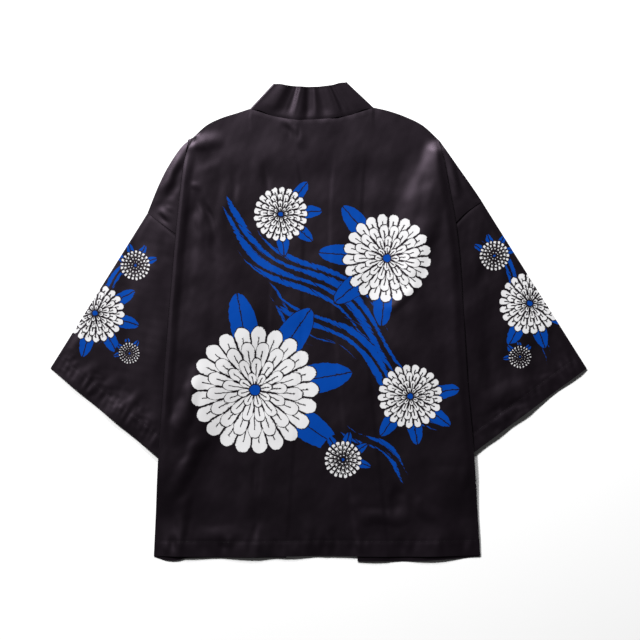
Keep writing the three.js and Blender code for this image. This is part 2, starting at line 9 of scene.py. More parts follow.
import bmesh
import bpy
import numpy as np
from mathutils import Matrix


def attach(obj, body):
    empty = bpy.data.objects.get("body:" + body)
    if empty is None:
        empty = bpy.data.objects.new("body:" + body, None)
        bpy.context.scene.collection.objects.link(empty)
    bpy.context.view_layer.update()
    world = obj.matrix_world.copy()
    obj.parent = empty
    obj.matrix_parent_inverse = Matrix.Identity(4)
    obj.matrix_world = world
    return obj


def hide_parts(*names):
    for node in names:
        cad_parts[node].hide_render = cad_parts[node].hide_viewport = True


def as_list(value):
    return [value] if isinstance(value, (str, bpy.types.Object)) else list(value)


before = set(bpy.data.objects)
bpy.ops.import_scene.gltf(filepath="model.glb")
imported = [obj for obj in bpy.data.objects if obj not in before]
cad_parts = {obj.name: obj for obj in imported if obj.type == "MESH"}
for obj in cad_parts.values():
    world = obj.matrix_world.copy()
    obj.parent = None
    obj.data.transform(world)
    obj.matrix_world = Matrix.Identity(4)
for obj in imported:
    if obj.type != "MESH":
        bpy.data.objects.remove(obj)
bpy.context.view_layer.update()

MM = 0.001

# Cloth and layers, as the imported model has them, and how thin the real cloth is.
CLOTH = 1.1
BAND = 1.8
PITCH = 1.7
FINE_CLOTH = 0.6
FINE_BAND = 1.2
BAND_WIDTH = 51
BAND_TURN = 60
BAND_PITCH = 2.4
CREASE_INSET = 2
HEM = 24.5
# Gaps at the seams.
SEAM_GAP = 0.35
FINE_SEAM = 0.3
NECK_GAP = 0.15
SEWN_GAP = 0.01
# Runs over which the rise over a pleat settles, to the side and above the cuff, and the rise over the fronts,
# and the height of that last rise.
SETTLE = 70
CUFF_SETTLE = 90
BAND_EASE = 45
OVER_BAND = 0.6
# Where the layers are lifted together, the back rises by this share more.
SPREAD = 0.12
# Sections run straight across between these heights. Beyond them they bend to the neck or to the hem.
LEVEL_ABOVE = 200
LEVEL_BELOW = -300
NECK_LINE = 300
HEM_LINE = -384
# The layers that the folded edges of front and back lie in, counted from 0.
FRONT_RETURN, BACK_RETURN = 1, 4

# A point of an outline: out is its distance from the plane x = 0.
Edge = namedtuple("Edge", "out y")
Plan = namedtuple("Plan", "x y")


def lerp(a, b, t):
    return a + (b - a) * t


def smooth(t):
    t = np.clip(t, 0, 1)
    return t * t * (3 - 2 * t)


def dome(distance):
    """A soft bump of 1 in its middle and 0 from its edge on; distance is in half widths."""
    return np.clip(1 - np.square(distance), 0, None) ** 2


def layer(index):
    return CLOTH / 2 + PITCH * index


def xyz(x, y, z):
    """Rows of x, y and z. Each may be one number for all rows."""
    return np.stack(np.broadcast_arrays(x, y, z), axis=1)


def curve(rows, start, end):
    """A smooth function through the rows, from one named column to another, flat beyond its ends."""
    rows = sorted(rows, key=lambda row: getattr(row, start))
    xs = np.array([getattr(row, start) for row in rows], float)
    ys = np.array([getattr(row, end) for row in rows], float)
    last = len(xs) - 1
    before = np.maximum(np.arange(last + 1) - 1, 0)
    after = np.minimum(np.arange(last + 1) + 1, last)
    slopes = (ys[after] - ys[before]) / (xs[after] - xs[before])

    def value(x):
        x = np.clip(np.asarray(x, float), xs[0], xs[-1])
        i = np.clip(np.searchsorted(xs, x, side="right") - 1, 0, last - 1)
        span = xs[i + 1] - xs[i]
        t = (x - xs[i]) / span
        rise = ys[i + 1] - ys[i]
        a, b = slopes[i] * span, slopes[i + 1] * span
        return ys[i] + t * (a + t * (3 * rise - 2 * a - b + t * (a + b - 2 * rise)))

    return value


# Hidden ends of the pleat and of the sleeve, the same on both sides.
ARMHOLE_END = Edge(156, 86)
SEAM_END = 8
UNDERARM = Edge(205, 37)
SIDE_SEAM_TOP = Edge(255, -220)
CUFF_END = Edge(244, -237)
HIDDEN_EDGE = [Edge(195, 250), ARMHOLE_END, Edge(132, -17), Edge(170, -90), CUFF_END]
UNDERARM_EDGE = [Edge(159, 76), Edge(140, 30), Edge(133.4, -17), Edge(153, -66), CUFF_END]
# How a pleat opens below its tip: its share of the full height, and its straight run.
PLEAT_OPEN = 24
FIRST_WIDTH = 2.6
Opening = namedtuple("Opening", "start nested straight")
PLEAT = [Opening(0, 0, 0), Opening(8, 0.5, 0.3), Opening(16, 0.92, 0.8), Opening(24, 1, 0)]

# What differs between the sides: how the fold stands up and falls at its edge, how crumpled the cuff is, and
# how far up the cuff's hidden end lies from CUFF_END.
Look = namedtuple("Look", "roll roll_width edge_fall edge_width crumple cuff_skew")


class Side:
    """One side of the garment, with its outline worked out as smooth curves."""

    def __init__(self, name, sign, look, collar, shoulder, drop, fold, band_seam, armhole, cuff):
        self.name, self.sign, self.look = name, sign, look
        self.collar, self.cuff = collar, cuff
        self.neck, self.tip, self.apex = shoulder[0], drop[-1], fold[0]
        self.shoulder_at = curve(shoulder, "out", "y")
        self.drop_at = curve(drop, "y", "out")
        self.fold_at = curve(fold, "y", "out")
        self.armhole_at = curve(armhole, "y", "out")
        self.armhole_height_at = curve(armhole, "out", "y")
        neck_seam = Edge(self.neck.out + SEAM_GAP, self.neck.y)
        self.band_seam_at = curve([neck_seam, *band_seam], "y", "out")
        self.hidden_at = curve([self.apex, *HIDDEN_EDGE], "y", "out")

    def xyz(self, out, y, z):
        return xyz(self.sign * out, y, z)


def edges(*rows):
    """Outline points from rows of out and y."""
    return [Edge(*row) for row in rows]


def along_x(*rows):
    """A smooth function through rows of x and y."""
    return curve([Plan(*row) for row in rows], "x", "y")


LEFT = Side(
    name="left",
    sign=-1,
    look=Look(roll=4.0, roll_width=19, edge_fall=2.2, edge_width=5.5, crumple=0.75, cuff_skew=0),
    collar=Edge(73, 390.5),
    shoulder=edges((112, 348.7), (135, 341), (160, 333), (184, 321), (205.8, 301)),
    drop=edges((205.8, 301), (222, 288), (245, 255), (262, 222), (280, 178)),
    fold=edges(
        (205.8, 301), (214, 280), (220, 260), (224, 232), (231, 171),
        (239, 81), (247.5, -19), (256.7, -145), (262, -222), (269.8, -384),
    ),
    band_seam=edges((95.5, 300), (83, 240), (77, 170), (77, 90), (81, -20), (90, -180), (104, -384)),
    armhole=edges((280, 178), (156, 86)),
    cuff=Edge(439.5, -76.5),
)
RIGHT = Side(
    name="right",
    sign=1,
    look=Look(roll=2.6, roll_width=40, edge_fall=2.1, edge_width=17, crumple=0.4, cuff_skew=15),
    collar=Edge(45.4, 393),
    shoulder=edges((90.4, 350.5), (114, 345), (142, 335.5), (171, 321), (197.6, 297)),
    drop=edges((197.6, 297), (206, 285), (227, 255), (249, 224), (267.5, 197)),
    fold=edges(
        (197.6, 297), (203, 275), (208, 252), (214, 220), (222, 180),
        (231, 107), (237, 20), (244, -94), (253, -200), (265, -384),
    ),
    band_seam=edges((81.6, 300), (74, 240), (70, 170), (71, 90), (78, -20), (93, -180), (115, -384)),
    armhole=edges((267.5, 197), (236, 173.5), (156, 86)),
    cuff=Edge(439.5, -76.5),
)
SIDES = [LEFT, RIGHT]
neck_seam_at = along_x(
    (-112, 348.7), (-82, 339), (-46, 331.5), (-14, 331), (22, 333.5), (60, 341), (90.4, 350.5)
)
collar_edge_at = along_x((-73, 390.5), (-46, 386.5), (-15, 384.5), (16, 386.5), (45.4, 393))
hem_at = {
    "back": along_x((-270, -384), (-120, -385.5), (0, -384), (130, -385), (265, -383)),
    "left": along_x((-270, -385), (-250, -391), (-232, -391.5), (-215, -387.5), (-53, -387)),
    "right": along_x((64, -393), (160, -392.5), (220, -389), (265, -384.5)),
}

# Places where hem and cuffs stand up off the surface, all layers together: soft domes of these half lengths.
Lift = namedtuple("Lift", "x y along across height")
LIFTS = [
    Lift(-222, -396, 62, 84, 1.8),
    Lift(-118, -396, 48, 60, 3),
    Lift(-38, -396, 40, 60, 2.5),
    Lift(92, -400, 50, 60, 2.5),
    Lift(192, -398, 58, 84, 3.6),
    Lift(274, -336, 46, 90, 2.5),
    Lift(418, -92, 50, 52, 1.6),
    Lift(352, -142, 54, 58, 2),
    Lift(300, -186, 44, 46, 1.3),
    Lift(-400, -104, 40, 44, 2.5),
    Lift(-325, -160, 46, 50, 4),
]

# Soft ridges, and troughs where the height is below 0, along points of x, y and height.
Fold = namedtuple("Fold", "width points")


def ridge(width, height, *spots):
    """A fold of one height that fades out at both ends."""
    heights = [0] + [height] * (len(spots) - 2) + [0]
    return Fold(width, [(x, y, h) for (x, y), h in zip(spots, heights)])


BACK_FOLDS = [
    Fold(17, [(-213, 287, 1.2), (-199, 293, 3.5), (-178, 297, 2.4), (-152, 300, 0)]),
    Fold(28, [(174, 280, 0), (162, 244, 2.5), (150, 200, 1.5), (140, 150, 0)]),
    Fold(22, [(196, 262, 0), (189, 205, 1.4), (180, 150, 2.2), (160, 95, 1.4), (140, 60, 0)]),
    ridge(26, 1.5, (140, 130), (160, 40), (170, -70)),
    ridge(20, 1.2, (-90, 310), (-96, 240), (-100, 160)),
    Fold(15, [(-40, 326, 0.4), (-28, 300, 1.4), (-20, 280, 0)]),
    Fold(22, [(-184, 180, 0), (-188, 90, 0.8), (-194, -20, 0.9), (-186, -110, 0)]),
    Fold(19, [(-190, -58, 0), (-201, -98, 2.4), (-216, -142, 3.6), (-228, -174, 2.8), (-236, -206, 0)]),
    Fold(17, [(-186, -178, 0), (-198, -204, 2.6), (-213, -234, 3.0), (-229, -264, 2.0), (-241, -292, 0)]),
    Fold(15, [(-212, -268, 0), (-221, -305, 2.2), (-227, -345, 2.2), (-232, -380, 0.8)]),
    ridge(22, 1.3, (-116, -190), (-113, -240), (-114, -300), (-116, -330)),
    Fold(17, [(-204, -344, 0), (-180, -352, 1.1), (-140, -350, 1.3), (-122, -342, 0)]),
    Fold(17, [(60, -312, 0), (80, -320, 1.6), (130, -320, 1.7), (152, -312, 0)]),
    Fold(18, [(148, -298, 0), (166, -302, 1.3), (190, -318, 1.5), (212, -345, 0.9), (230, -372, 0)]),
]
BACK_CREASES = [
    Fold(18, [(-206, 264, -0.3), (-184, 268, -1.4), (-150, 274, 0)]),
    Fold(15, [(-198, 216, 0), (-204, 180, -2.0), (-207, 134, -1.1), (-215, 68, -0.7), (-224, -10, 0)]),
    Fold(11, [(-193, 206, -0.4), (-180, 175, -2.2), (-171, 137, -1.4), (-165, 98, 0)]),
    Fold(9, [(-196, 200, 0), (-195, 172, 0.8), (-192, 140, 0.6), (-188, 112, 0)]),
    ridge(9, 1.0, (-214, 226), (-201, 222), (-186, 220)),
    ridge(8, -0.8, (-137, 262), (-135, 225), (-139, 180)),
    ridge(10, -0.8, (-88, 270), (-84, 236), (-82, 205)),
    ridge(13, 0.9, (-150, 255), (-156, 190), (-160, 130)),
    ridge(6, -0.8, (-62, 322), (-52, 314), (-46, 300)),
    Fold(5, [(-52, 324, 0.6), (-36, 312, 0.6), (-30, 302, 0)]),
    ridge(5, -0.6, (-34, 322), (-32, 308), (-30, 296)),
    Fold(12, [(166, 70, 0), (150, 52, 1.4), (124, 28, 1.2), (100, 10, 0)]),
    ridge(34, 0.9, (20, 290), (16, 160), (14, 40)),
    ridge(24, -0.9, (74, 310), (68, 200), (62, 110)),
    ridge(30, 0.8, (-14, 130), (-10, 0), (-8, -170)),
    ridge(26, -0.9, (-140, 60), (-128, -40), (-132, -120)),
    ridge(18, -0.9, (100, -60), (94, -140), (98, -220)),
    ridge(16, 1.0, (210, -60), (216, -130), (206, -200)),
    Fold(9, [(-97, -312, 0), (-98, -330, -0.6), (-108, -352, -0.5), (-112, -380, -0.4)]),
    Fold(12, [(-90, -350, 0), (-83, -366, 0.5), (-78, -382, 0.4)]),
    ridge(5, -0.6, (-104, -215), (-105, -260), (-106, -310)),
    Fold(13, [(128, -258, 0), (130, -285, -1.8), (131, -308, -1.4), (132, -330, 0)]),
    Fold(14, [(60, -280, 0), (66, -300, 1.2), (70, -330, 0.6), (72, -350, 0)]),
    ridge(12, 1.2, (236, -225), (239, -255), (240, -290)),
    Fold(14, [(-20, -300, 0), (-14, -340, 0.9), (-18, -380, 0.3)]),
    Fold(10, [(20, -330, 0), (26, -356, -0.8), (24, -382, -0.4)]),
]
SLEEVE_FOLDS = [
    ridge(13, 0.7, (-396, -96), (-374, -78), (-350, -58)),
    ridge(13, 0.9, (-362, -124), (-338, -104), (-314, -82)),
    ridge(12, 1.0, (-326, -152), (-304, -130), (-282, -106)),
    ridge(12, 0.8, (-292, -180), (-276, -162), (-260, -144)),
    ridge(24, 1.6, (256, -142), (310, -118), (376, -90)),
    ridge(15, 1.3, (286, -178), (306, -150), (328, -118)),
]
SLEEVE_CREASES = [
    ridge(20, 0.9, (-290, 134), (-276, 90), (-262, 40)),
    ridge(24, 0.9, (-300, 64), (-316, 10), (-330, -44)),
    ridge(12, -0.8, (-262, 144), (-256, 115), (-250, 90)),
    ridge(16, 0.8, (-262, 14), (-266, -50), (-270, -114)),
    ridge(12, -0.6, (-350, 44), (-362, 0), (-384, -40)),
    ridge(24, 0.9, (286, 134), (294, 75), (300, 16)),
    ridge(26, 0.9, (330, 44), (318, -10), (306, -64)),
    ridge(14, -0.9, (268, 124), (266, 80), (262, 40)),
    ridge(18, -0.8, (272, -20), (276, -64), (282, -110)),
    ridge(10, -0.8, (276, -152), (318, -136), (362, -120)),
    ridge(8, 0.7, (312, -170), (338, -152), (366, -136)),
    ridge(12, 0.8, (350, -102), (378, -96), (406, -92)),
    ridge(8, -0.7, (282, -188), (292, -176), (302, -162)),
]
SHOULDER_CREASES = [
    Fold(13, [(-216, 284, 0.4), (-236, 254, 1.6), (-249, 228, 1.9), (-262, 202, 0.8)]),
    ridge(9, -1.3, (-221, 264), (-231, 236), (-240, 208), (-246, 192)),
    ridge(8, 1.3, (-259, 188), (-251, 176), (-243, 163)),
    ridge(5, -0.9, (-263, 180), (-254, 168), (-245, 160)),
    ridge(4, 0.8, (-249, 188), (-243, 181), (-237, 175)),
    Fold(9, [(208, 280, 0.5), (216, 254, 1.5), (224, 226, 1.7), (229, 204, 0.6)]),
    Fold(12, [(226, 268, 0), (238, 244, 1.5), (248, 220, 1.7), (256, 202, 0.4)]),
]
# Ridges and creases across the neckband behind the neck, at shares of the way from left to right.
Wave = namedtuple("Wave", "at width height")
BAND_WAVES = [Wave(0.385, 0.08, 1.5), Wave(0.52, 0.07, 0.8), Wave(0.7, 0.1, 2)]
BAND_CREASES = [
    Wave(0.11, 0.15, 1.1), Wave(0.25, 0.1, -1.1), Wave(0.3, 0.035, -0.5), Wave(0.355, 0.02, 0.35),
    Wave(0.46, 0.05, -0.5), Wave(0.5, 0.06, -1.0), Wave(0.545, 0.02, 0.3), Wave(0.64, 0.08, -1.0),
    Wave(0.755, 0.018, 0.35), Wave(0.79, 0.03, -0.3), Wave(0.825, 0.02, 0.4), Wave(0.92, 0.06, 0.5),
]


RIPPLE_WAVES = 7
RIPPLE_LENGTHS = (0.7, 1.5)


def ripple(x, y, size, seed):
    """Smooth uneven waves between about -1 and 1, of about that wavelength, the same on every run."""
    draw = np.random.default_rng(seed)
    total = 0
    for _ in range(RIPPLE_WAVES):
        angle, phase = draw.uniform(0, 2 * math.pi, 2)
        pace = 2 * math.pi / (size * draw.uniform(*RIPPLE_LENGTHS))
        total = total + np.sin((x * math.cos(angle) + y * math.sin(angle)) * pace + phase)
    return total / 4


def lift(x, y):
    return sum(s.height * dome(np.hypot((x - s.x) / s.along, (y - s.y) / s.across)) for s in LIFTS)


# How far folds stray from their straight runs, and over what length.
STRAY = 3.2
STRAY_LENGTH = 42


def folds(rows, x, y):
    """Height of the folds at x and y. They wander a little, and each has the height of its nearest run."""
    x, y = np.broadcast_arrays(np.asarray(x, float), np.asarray(y, float))
    across = x + STRAY * ripple(x, y, STRAY_LENGTH, seed=3)
    along = y + STRAY * ripple(x, y, STRAY_LENGTH, seed=4)
    total = np.zeros(x.shape)
    for row in rows:
        nearest = np.full(x.shape, np.inf)
        height = np.zeros(x.shape)
        for (x1, y1, h1), (x2, y2, h2) in zip(row.points, row.points[1:]):
            dx, dy = x2 - x1, y2 - y1
            t = np.clip(((across - x1) * dx + (along - y1) * dy) / (dx * dx + dy * dy), 0, 1)
            off = np.hypot(across - x1 - t * dx, along - y1 - t * dy)
            height = np.where(off < nearest, lerp(h1, h2, smooth(t)), height)
            nearest = np.minimum(nearest, off)
        total = total + height * dome(nearest / row.width)
    return total


nested_at = curve(PLEAT, "start", "nested")
straight_at = curve(PLEAT, "start", "straight")


def nested(side, y):
    return np.where(y < side.apex.y, np.clip(nested_at(side.apex.y - y), 0, 1), 0)


def beside(side, out, y):
    return nested(side, y) * (1 - smooth((out - side.fold_at(y)) / SETTLE))


# Over a pleat's tip the cloth rises as a cone: narrow there, and full this far below.
CONE = 230
CONE_TIP = 0.34


def covering(side, out, y):
    reach = SETTLE * np.clip(CONE_TIP + (side.apex.y - y) / CONE, CONE_TIP, 1)
    across = smooth((out - side.hidden_at(y) + reach) / reach)
    down = smooth((y - CUFF_END.y + CUFF_SETTLE) / CUFF_SETTLE)
    return nested(side, y) * across * down


def over_fronts(side, out, y):
    from_shoulder = np.where(out > side.neck.out, side.shoulder_at(out) - y, BAND_EASE)
    return smooth(np.minimum(from_shoulder, side.fold_at(y) - out) / BAND_EASE)


def roll(side, out, y):
    """The fold stands up a little along its edge, and is rounded there."""
    look = side.look
    down = smooth((side.apex.y - y) / SETTLE) * smooth((y - SIDE_SEAM_TOP.y) / SETTLE)
    inside = np.maximum(0, side.fold_at(y) - out)
    fall = look.edge_fall * dome(inside / look.edge_width)
    return down * (look.roll * dome(inside / look.roll_width) - fall)


# The neckband's edges print through the back, from this far below the neck, where nothing else lies between.
BAND_TRACE = 0.7
TRACE_EASE = 5
TRACE_START = 60


def band_trace(side, out, y):
    seam = side.band_seam_at(y)
    outer = smooth((seam - out) / TRACE_EASE + 0.5)
    inner = smooth((out - seam + BAND_WIDTH) / TRACE_EASE + 0.5)
    return BAND_TRACE * (outer * inner - 1) * smooth((side.neck.y - TRACE_START - y) / TRACE_START)


# The turned hem: a little thicker, with a groove along its stitches and patches of puckers across them.
HEM_THICK = 0.12
GROOVE = 0.24
GROOVE_WIDTH = 1.6
PUCKER_REACH = 20
PUCKER_LENGTH = 15
PUCKER_PATCH = 70


def hem_relief(distance, along, seed):
    """distance is from the hem's edge inwards, along is the place along it."""
    step = HEM_THICK * smooth((HEM + 1 - distance) / 2)
    groove = GROOVE * dome((distance - HEM) / GROOVE_WIDTH)
    puckers = ripple(along, distance / 4, PUCKER_LENGTH, seed) * dome((distance - HEM + 5) / PUCKER_REACH)
    patchy = 0.7 + 0.5 * ripple(along, 0, PUCKER_PATCH, seed + 1)
    return step - groove + puckers * np.clip(patchy, 0.35, 1)


# The crumpled cuff: the lengths of its sharp and soft waves and of its patches.
SHARP_LENGTH, SOFT_LENGTH, CRUMPLE_PATCH = 20, 10, 60
CRUMPLE_MIDDLE = 26
CRUMPLE_REACH = 34


def crumple(side, distance, x, y):
    """Small crossing wrinkles beside the cuff, sharp along their tops. distance is from the cuff's edge."""
    sharp = 0.75 - 1.1 * np.abs(ripple(x, y * 0.8, SHARP_LENGTH, seed=91))
    soft = 0.3 * ripple(x, y, SOFT_LENGTH, seed=92)
    patchy = np.clip(0.55 + 0.6 * ripple(x, y, CRUMPLE_PATCH, seed=93), 0.1, 1)
    near = dome((distance - CRUMPLE_MIDDLE) / CRUMPLE_REACH)
    return side.look.crumple * (np.clip(sharp, -0.2, 0.75) + soft) * near * patchy


# The small unevenness that all the cloth has, in waves drawn out along y.
Uneven = namedtuple("Uneven", "height squash size")
DRAPE = [Uneven(1.1, 0.5, 90), Uneven(0.6, 0.55, 40), Uneven(0.08, 0.7, 15)]
DRAPE_LIFT = 0.9
DRAPE_LEAST = -0.4


def drape(x, y, seed):
    """Unevenness from waves with seeds from this one on, kept from sinking into the layer below."""
    waves = [row.height * ripple(x, y * row.squash, row.size, seed + k) for k, row in enumerate(DRAPE)]
    return np.maximum(sum(waves) + DRAPE_LIFT, DRAPE_LEAST)


def back_height(x, y):
    x, y = np.broadcast_arrays(np.asarray(x, float), np.asarray(y, float))
    out = np.abs(x)
    stack = 0
    for side in SIDES:
        here = (x < 0) == (side.sign < 0)
        hump = layer(1 + 4 * covering(side, out, y)) + roll(side, out, y)
        hump = hump + OVER_BAND * over_fronts(side, out, y)
        hump = hump + band_trace(side, out, y) * (1 - covering(side, out, y))
        stack = stack + np.where(here, hump, 0)
    return stack + folds(BACK_FOLDS, x, y) + lift(x, y) * (1 + SPREAD)


# Seams draw the cloth down a little beside them, and it puckers below the neck.
SUNK = 0.4
SUNK_WIDTH = 4
NECK_PUCKER = 0.25
NECK_PUCKER_REACH = 9
NECK_PUCKER_LENGTH = 16


def back_detail(x, y):
    below_neck = neck_seam_at(x) - y
    puckers = NECK_PUCKER * dome(below_neck / NECK_PUCKER_REACH) * ripple(x, y, NECK_PUCKER_LENGTH, seed=31)
    detail = folds(BACK_CREASES, x, y) + drape(x, y, seed=11)
    detail = detail + hem_relief(y - hem_at["back"](x), x, seed=21)
    return detail + puckers - SUNK * dome(below_neck / SUNK_WIDTH)


def front_height(x, y):
    return layer(0) + lift(x, y)


# Steps of the fine grid.
STEP = 3.1
BEND_STEPS = 9
RETURN_STEPS = 8
SHOULDER_STEPS = 26
PANEL_STEPS = 166
FRONT_STEPS = 56


def spaced(start, end, step):
    count = max(1, round(abs(end - start) / step))
    return np.linspace(start, end, count, endpoint=False)


def fine_sections(step):
    stops = [NECK_LINE, NECK_LINE - PLEAT_OPEN, RIGHT.tip.y, LEFT.tip.y]
    stops += [ARMHOLE_END.y + SEAM_END, ARMHOLE_END.y, ARMHOLE_END.y - SEAM_END, UNDERARM.y]
    stops += [SIDE_SEAM_TOP.y + PLEAT_OPEN, SIDE_SEAM_TOP.y, HEM_LINE + HEM, HEM_LINE]
    parts = [spaced(a, b, step) for a, b in zip(stops, stops[1:])]
    return np.concatenate([*parts, [HEM_LINE]])


def section_height(section, top, hem):
    up = np.clip((section - LEVEL_ABOVE) / (NECK_LINE - LEVEL_ABOVE), 0, 1)
    down = np.clip((LEVEL_BELOW - section) / (LEVEL_BELOW - HEM_LINE), 0, 1)
    return section + up * (top - NECK_LINE) + down * (hem - HEM_LINE)


def pleat_inner(side, y):
    top = side.apex.y - PLEAT_OPEN
    return lerp(ARMHOLE_END.out, side.fold_at(top) - FIRST_WIDTH, (y - ARMHOLE_END.y) / (top - ARMHOLE_END.y))


def hidden_return(y):
    if y > UNDERARM.y:
        end = ARMHOLE_END.y - SEAM_END
        return lerp(UNDERARM.out, ARMHOLE_END.out, (y - UNDERARM.y) / (end - UNDERARM.y))
    return lerp(SIDE_SEAM_TOP.out, UNDERARM.out, (y - SIDE_SEAM_TOP.y) / (UNDERARM.y - SIDE_SEAM_TOP.y))


# A pleat that turns by less than this, in radians, stays flat. Then its tightest radius, and the share of the
# shoulder run over which the cloth leaves the pleat's own height.
LEAST_TURN = 0.12
LEAST_RADIUS = 0.3
LEAVING = 0.1


def pleat(side, y, returned, down):
    """The pleat in one section, from the panel outwards: its points, and their places on the flat cloth."""
    height = back_height if down < 0 else front_height
    base = 1 if down < 0 else 0
    fold = float(side.fold_at(y))
    from_end = min(side.apex.y - y, y - SIDE_SEAM_TOP.y)
    turn = math.pi * min(1, max(0, from_end / PLEAT_OPEN))
    if turn < LEAST_TURN:
        turn = 0
    seam = y - ARMHOLE_END.y
    shoulder = seam > -SEAM_END
    raised = float(lift(side.sign * fold, y))

    def shoulder_at(out):
        return layer(base + 2 * beside(side, out, y)) + lift(side.sign * out, y)

    panel = float(height(side.sign * fold, y))
    straight = float(straight_at(from_end))
    radius = abs(panel - layer(returned) - raised) / 2
    second = PITCH / 2
    if turn >= math.pi - 1e-6:
        inner = pleat_inner(side, y) + second if shoulder else hidden_return(y)
        straight = max(0, fold - radius - inner)
    elif shoulder and turn:
        drop = abs(panel - float(shoulder_at(fold)))
        radius = max(LEAST_RADIUS, (drop - straight * math.sin(turn)) / (2 * (1 - math.cos(turn))))
        second = radius
    start = fold - radius * math.sin(min(turn, math.pi / 2))
    back_turn = -turn * min(1, max(0, (seam + SEAM_END) / (2 * SEAM_END))) if shoulder else 0
    steps = []
    heading = 0
    for size, angle in ((radius, turn), (None, 0), (second, back_turn)):
        if size is None:
            steps += [(straight / RETURN_STEPS if turn else 0, heading)] * RETURN_STEPS
            continue
        piece = angle / BEND_STEPS
        chord = 2 * size * math.sin(abs(piece) / 2)
        for _ in range(BEND_STEPS):
            steps.append((chord, heading + piece / 2))
            heading += piece
    lengths, headings = np.array(steps).T
    out = start + np.concatenate([[0], np.cumsum(lengths * np.cos(headings))])
    rise = np.concatenate([[0], np.cumsum(lengths * np.sin(headings))])
    z = float(height(side.sign * start, y)) + down * rise
    last = float(side.drop_at(y)) if y > side.tip.y else float(side.armhole_at(y))
    last = max(last, out[-1])
    if seam > SEAM_END and last > out[-1]:
        share = np.arange(1, SHOULDER_STEPS + 1) / SHOULDER_STEPS
        more = lerp(out[-1], last, share)
        more_z = shoulder_at(more)
        if down < 0:
            x = side.sign * more
            detail = folds(SHOULDER_CREASES, x, y) + drape(x, y, seed=41)
            ease = smooth(0.4 + (last - more) / 30) if y > side.tip.y else 1
            more_z = more_z + detail * smooth(share * 4) * ease
        more_z = np.where(share < LEAVING, lerp(z[-1], more_z, share / LEAVING), more_z)
    else:
        more = np.full(SHOULDER_STEPS, out[-1])
        more_z = np.full(SHOULDER_STEPS, z[-1])
    out, z = np.concatenate([out, more]), np.concatenate([z, more_z])
    travelled = start + np.concatenate([[0], np.cumsum(np.hypot(np.diff(out), np.diff(z)))])
    return side.xyz(out, y, z), side.xyz(travelled, y, 0)


PRINT_AT = "print_at"
# Points nearer than the first, and edges shorter than the second, in metres, are joined.
WELD = 0.00002
SHORTEST = 0.00001


def placed(name, data):
    """A new object in the scene."""
    made = bpy.data.objects.new(name, data)
    bpy.context.scene.collection.objects.link(made)
    return made


def shell(name, rows, flats, material, thickness, flipped=False, closed=False):
    """A cloth shell through rows of points. It keeps each point's place on the flat cloth, for the print."""
    points, flats = np.array(rows), np.array(flats)
    if flipped:
        points, flats = points[:, ::-1], flats[:, ::-1]
    high, wide = points.shape[:2]
    index = np.arange(high * wide).reshape(high, wide)
    if closed:
        index = np.concatenate([index, index[:, :1]], axis=1)
    a, b, c, d = index[:-1, :-1], index[1:, :-1], index[1:, 1:], index[:-1, 1:]
    faces = np.stack([a, b, c, d], axis=-1).reshape(-1, 4)
    mesh = bpy.data.meshes.new(name)
    mesh.from_pydata((points.reshape(-1, 3) * MM).tolist(), [], faces.tolist())
    places = mesh.attributes.new(PRINT_AT, "FLOAT_VECTOR", "POINT")
    places.data.foreach_set("vector", (flats.reshape(-1, 3) * MM).ravel())
    work = bmesh.new()
    work.from_mesh(mesh)
    bmesh.ops.remove_doubles(work, verts=work.verts, dist=WELD)
    bmesh.ops.dissolve_degenerate(work, edges=work.edges, dist=SHORTEST)
    for edge in work.edges:
        edge.smooth = not edge.is_boundary
    work.to_mesh(mesh)
    work.free()
    mesh.polygons.foreach_set("use_smooth", [True] * len(mesh.polygons))
    piece = placed(name, mesh)
    mesh.materials.append(material)
    wall = piece.modifiers.new("wall", "SOLIDIFY")
    wall.thickness = thickness * MM
    wall.offset = 0
    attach(piece, "root")
    return piece


def plain_flat(points):
    flat = points.copy()
    flat[..., 2] = 0
    return flat


def back_panel(material):
    shares = np.arange(1, PANEL_STEPS) / PANEL_STEPS
    rows, flats = [], []
    for section in fine_sections(STEP):
        ends = []
        for side in SIDES:
            edge = side.sign * float(side.fold_at(section))
            y = float(section_height(section, side.apex.y, float(hem_at["back"](edge))))
            ends.append(pleat(side, y, BACK_RETURN, -1))
        x = lerp(ends[0][0][0, 0], ends[1][0][0, 0], shares)
        top = np.where(
            x < -LEFT.neck.out,
            LEFT.shoulder_at(-x),
            np.where(x > RIGHT.neck.out, RIGHT.shoulder_at(x), neck_seam_at(x) - NECK_GAP),
        )
        y = section_height(section, top, hem_at["back"](x))
        edge_ease = smooth(np.minimum(shares, 1 - shares) * 40)
        z = back_height(x, y) + back_detail(x, y) * edge_ease
        middle = xyz(x, y, z)
        rows.append(np.concatenate([ends[0][0][::-1], middle, ends[1][0]]))
        flats.append(np.concatenate([ends[0][1][::-1], plain_flat(middle), ends[1][1]]))
    return shell("back_cloth", rows, flats, material, FINE_CLOTH)


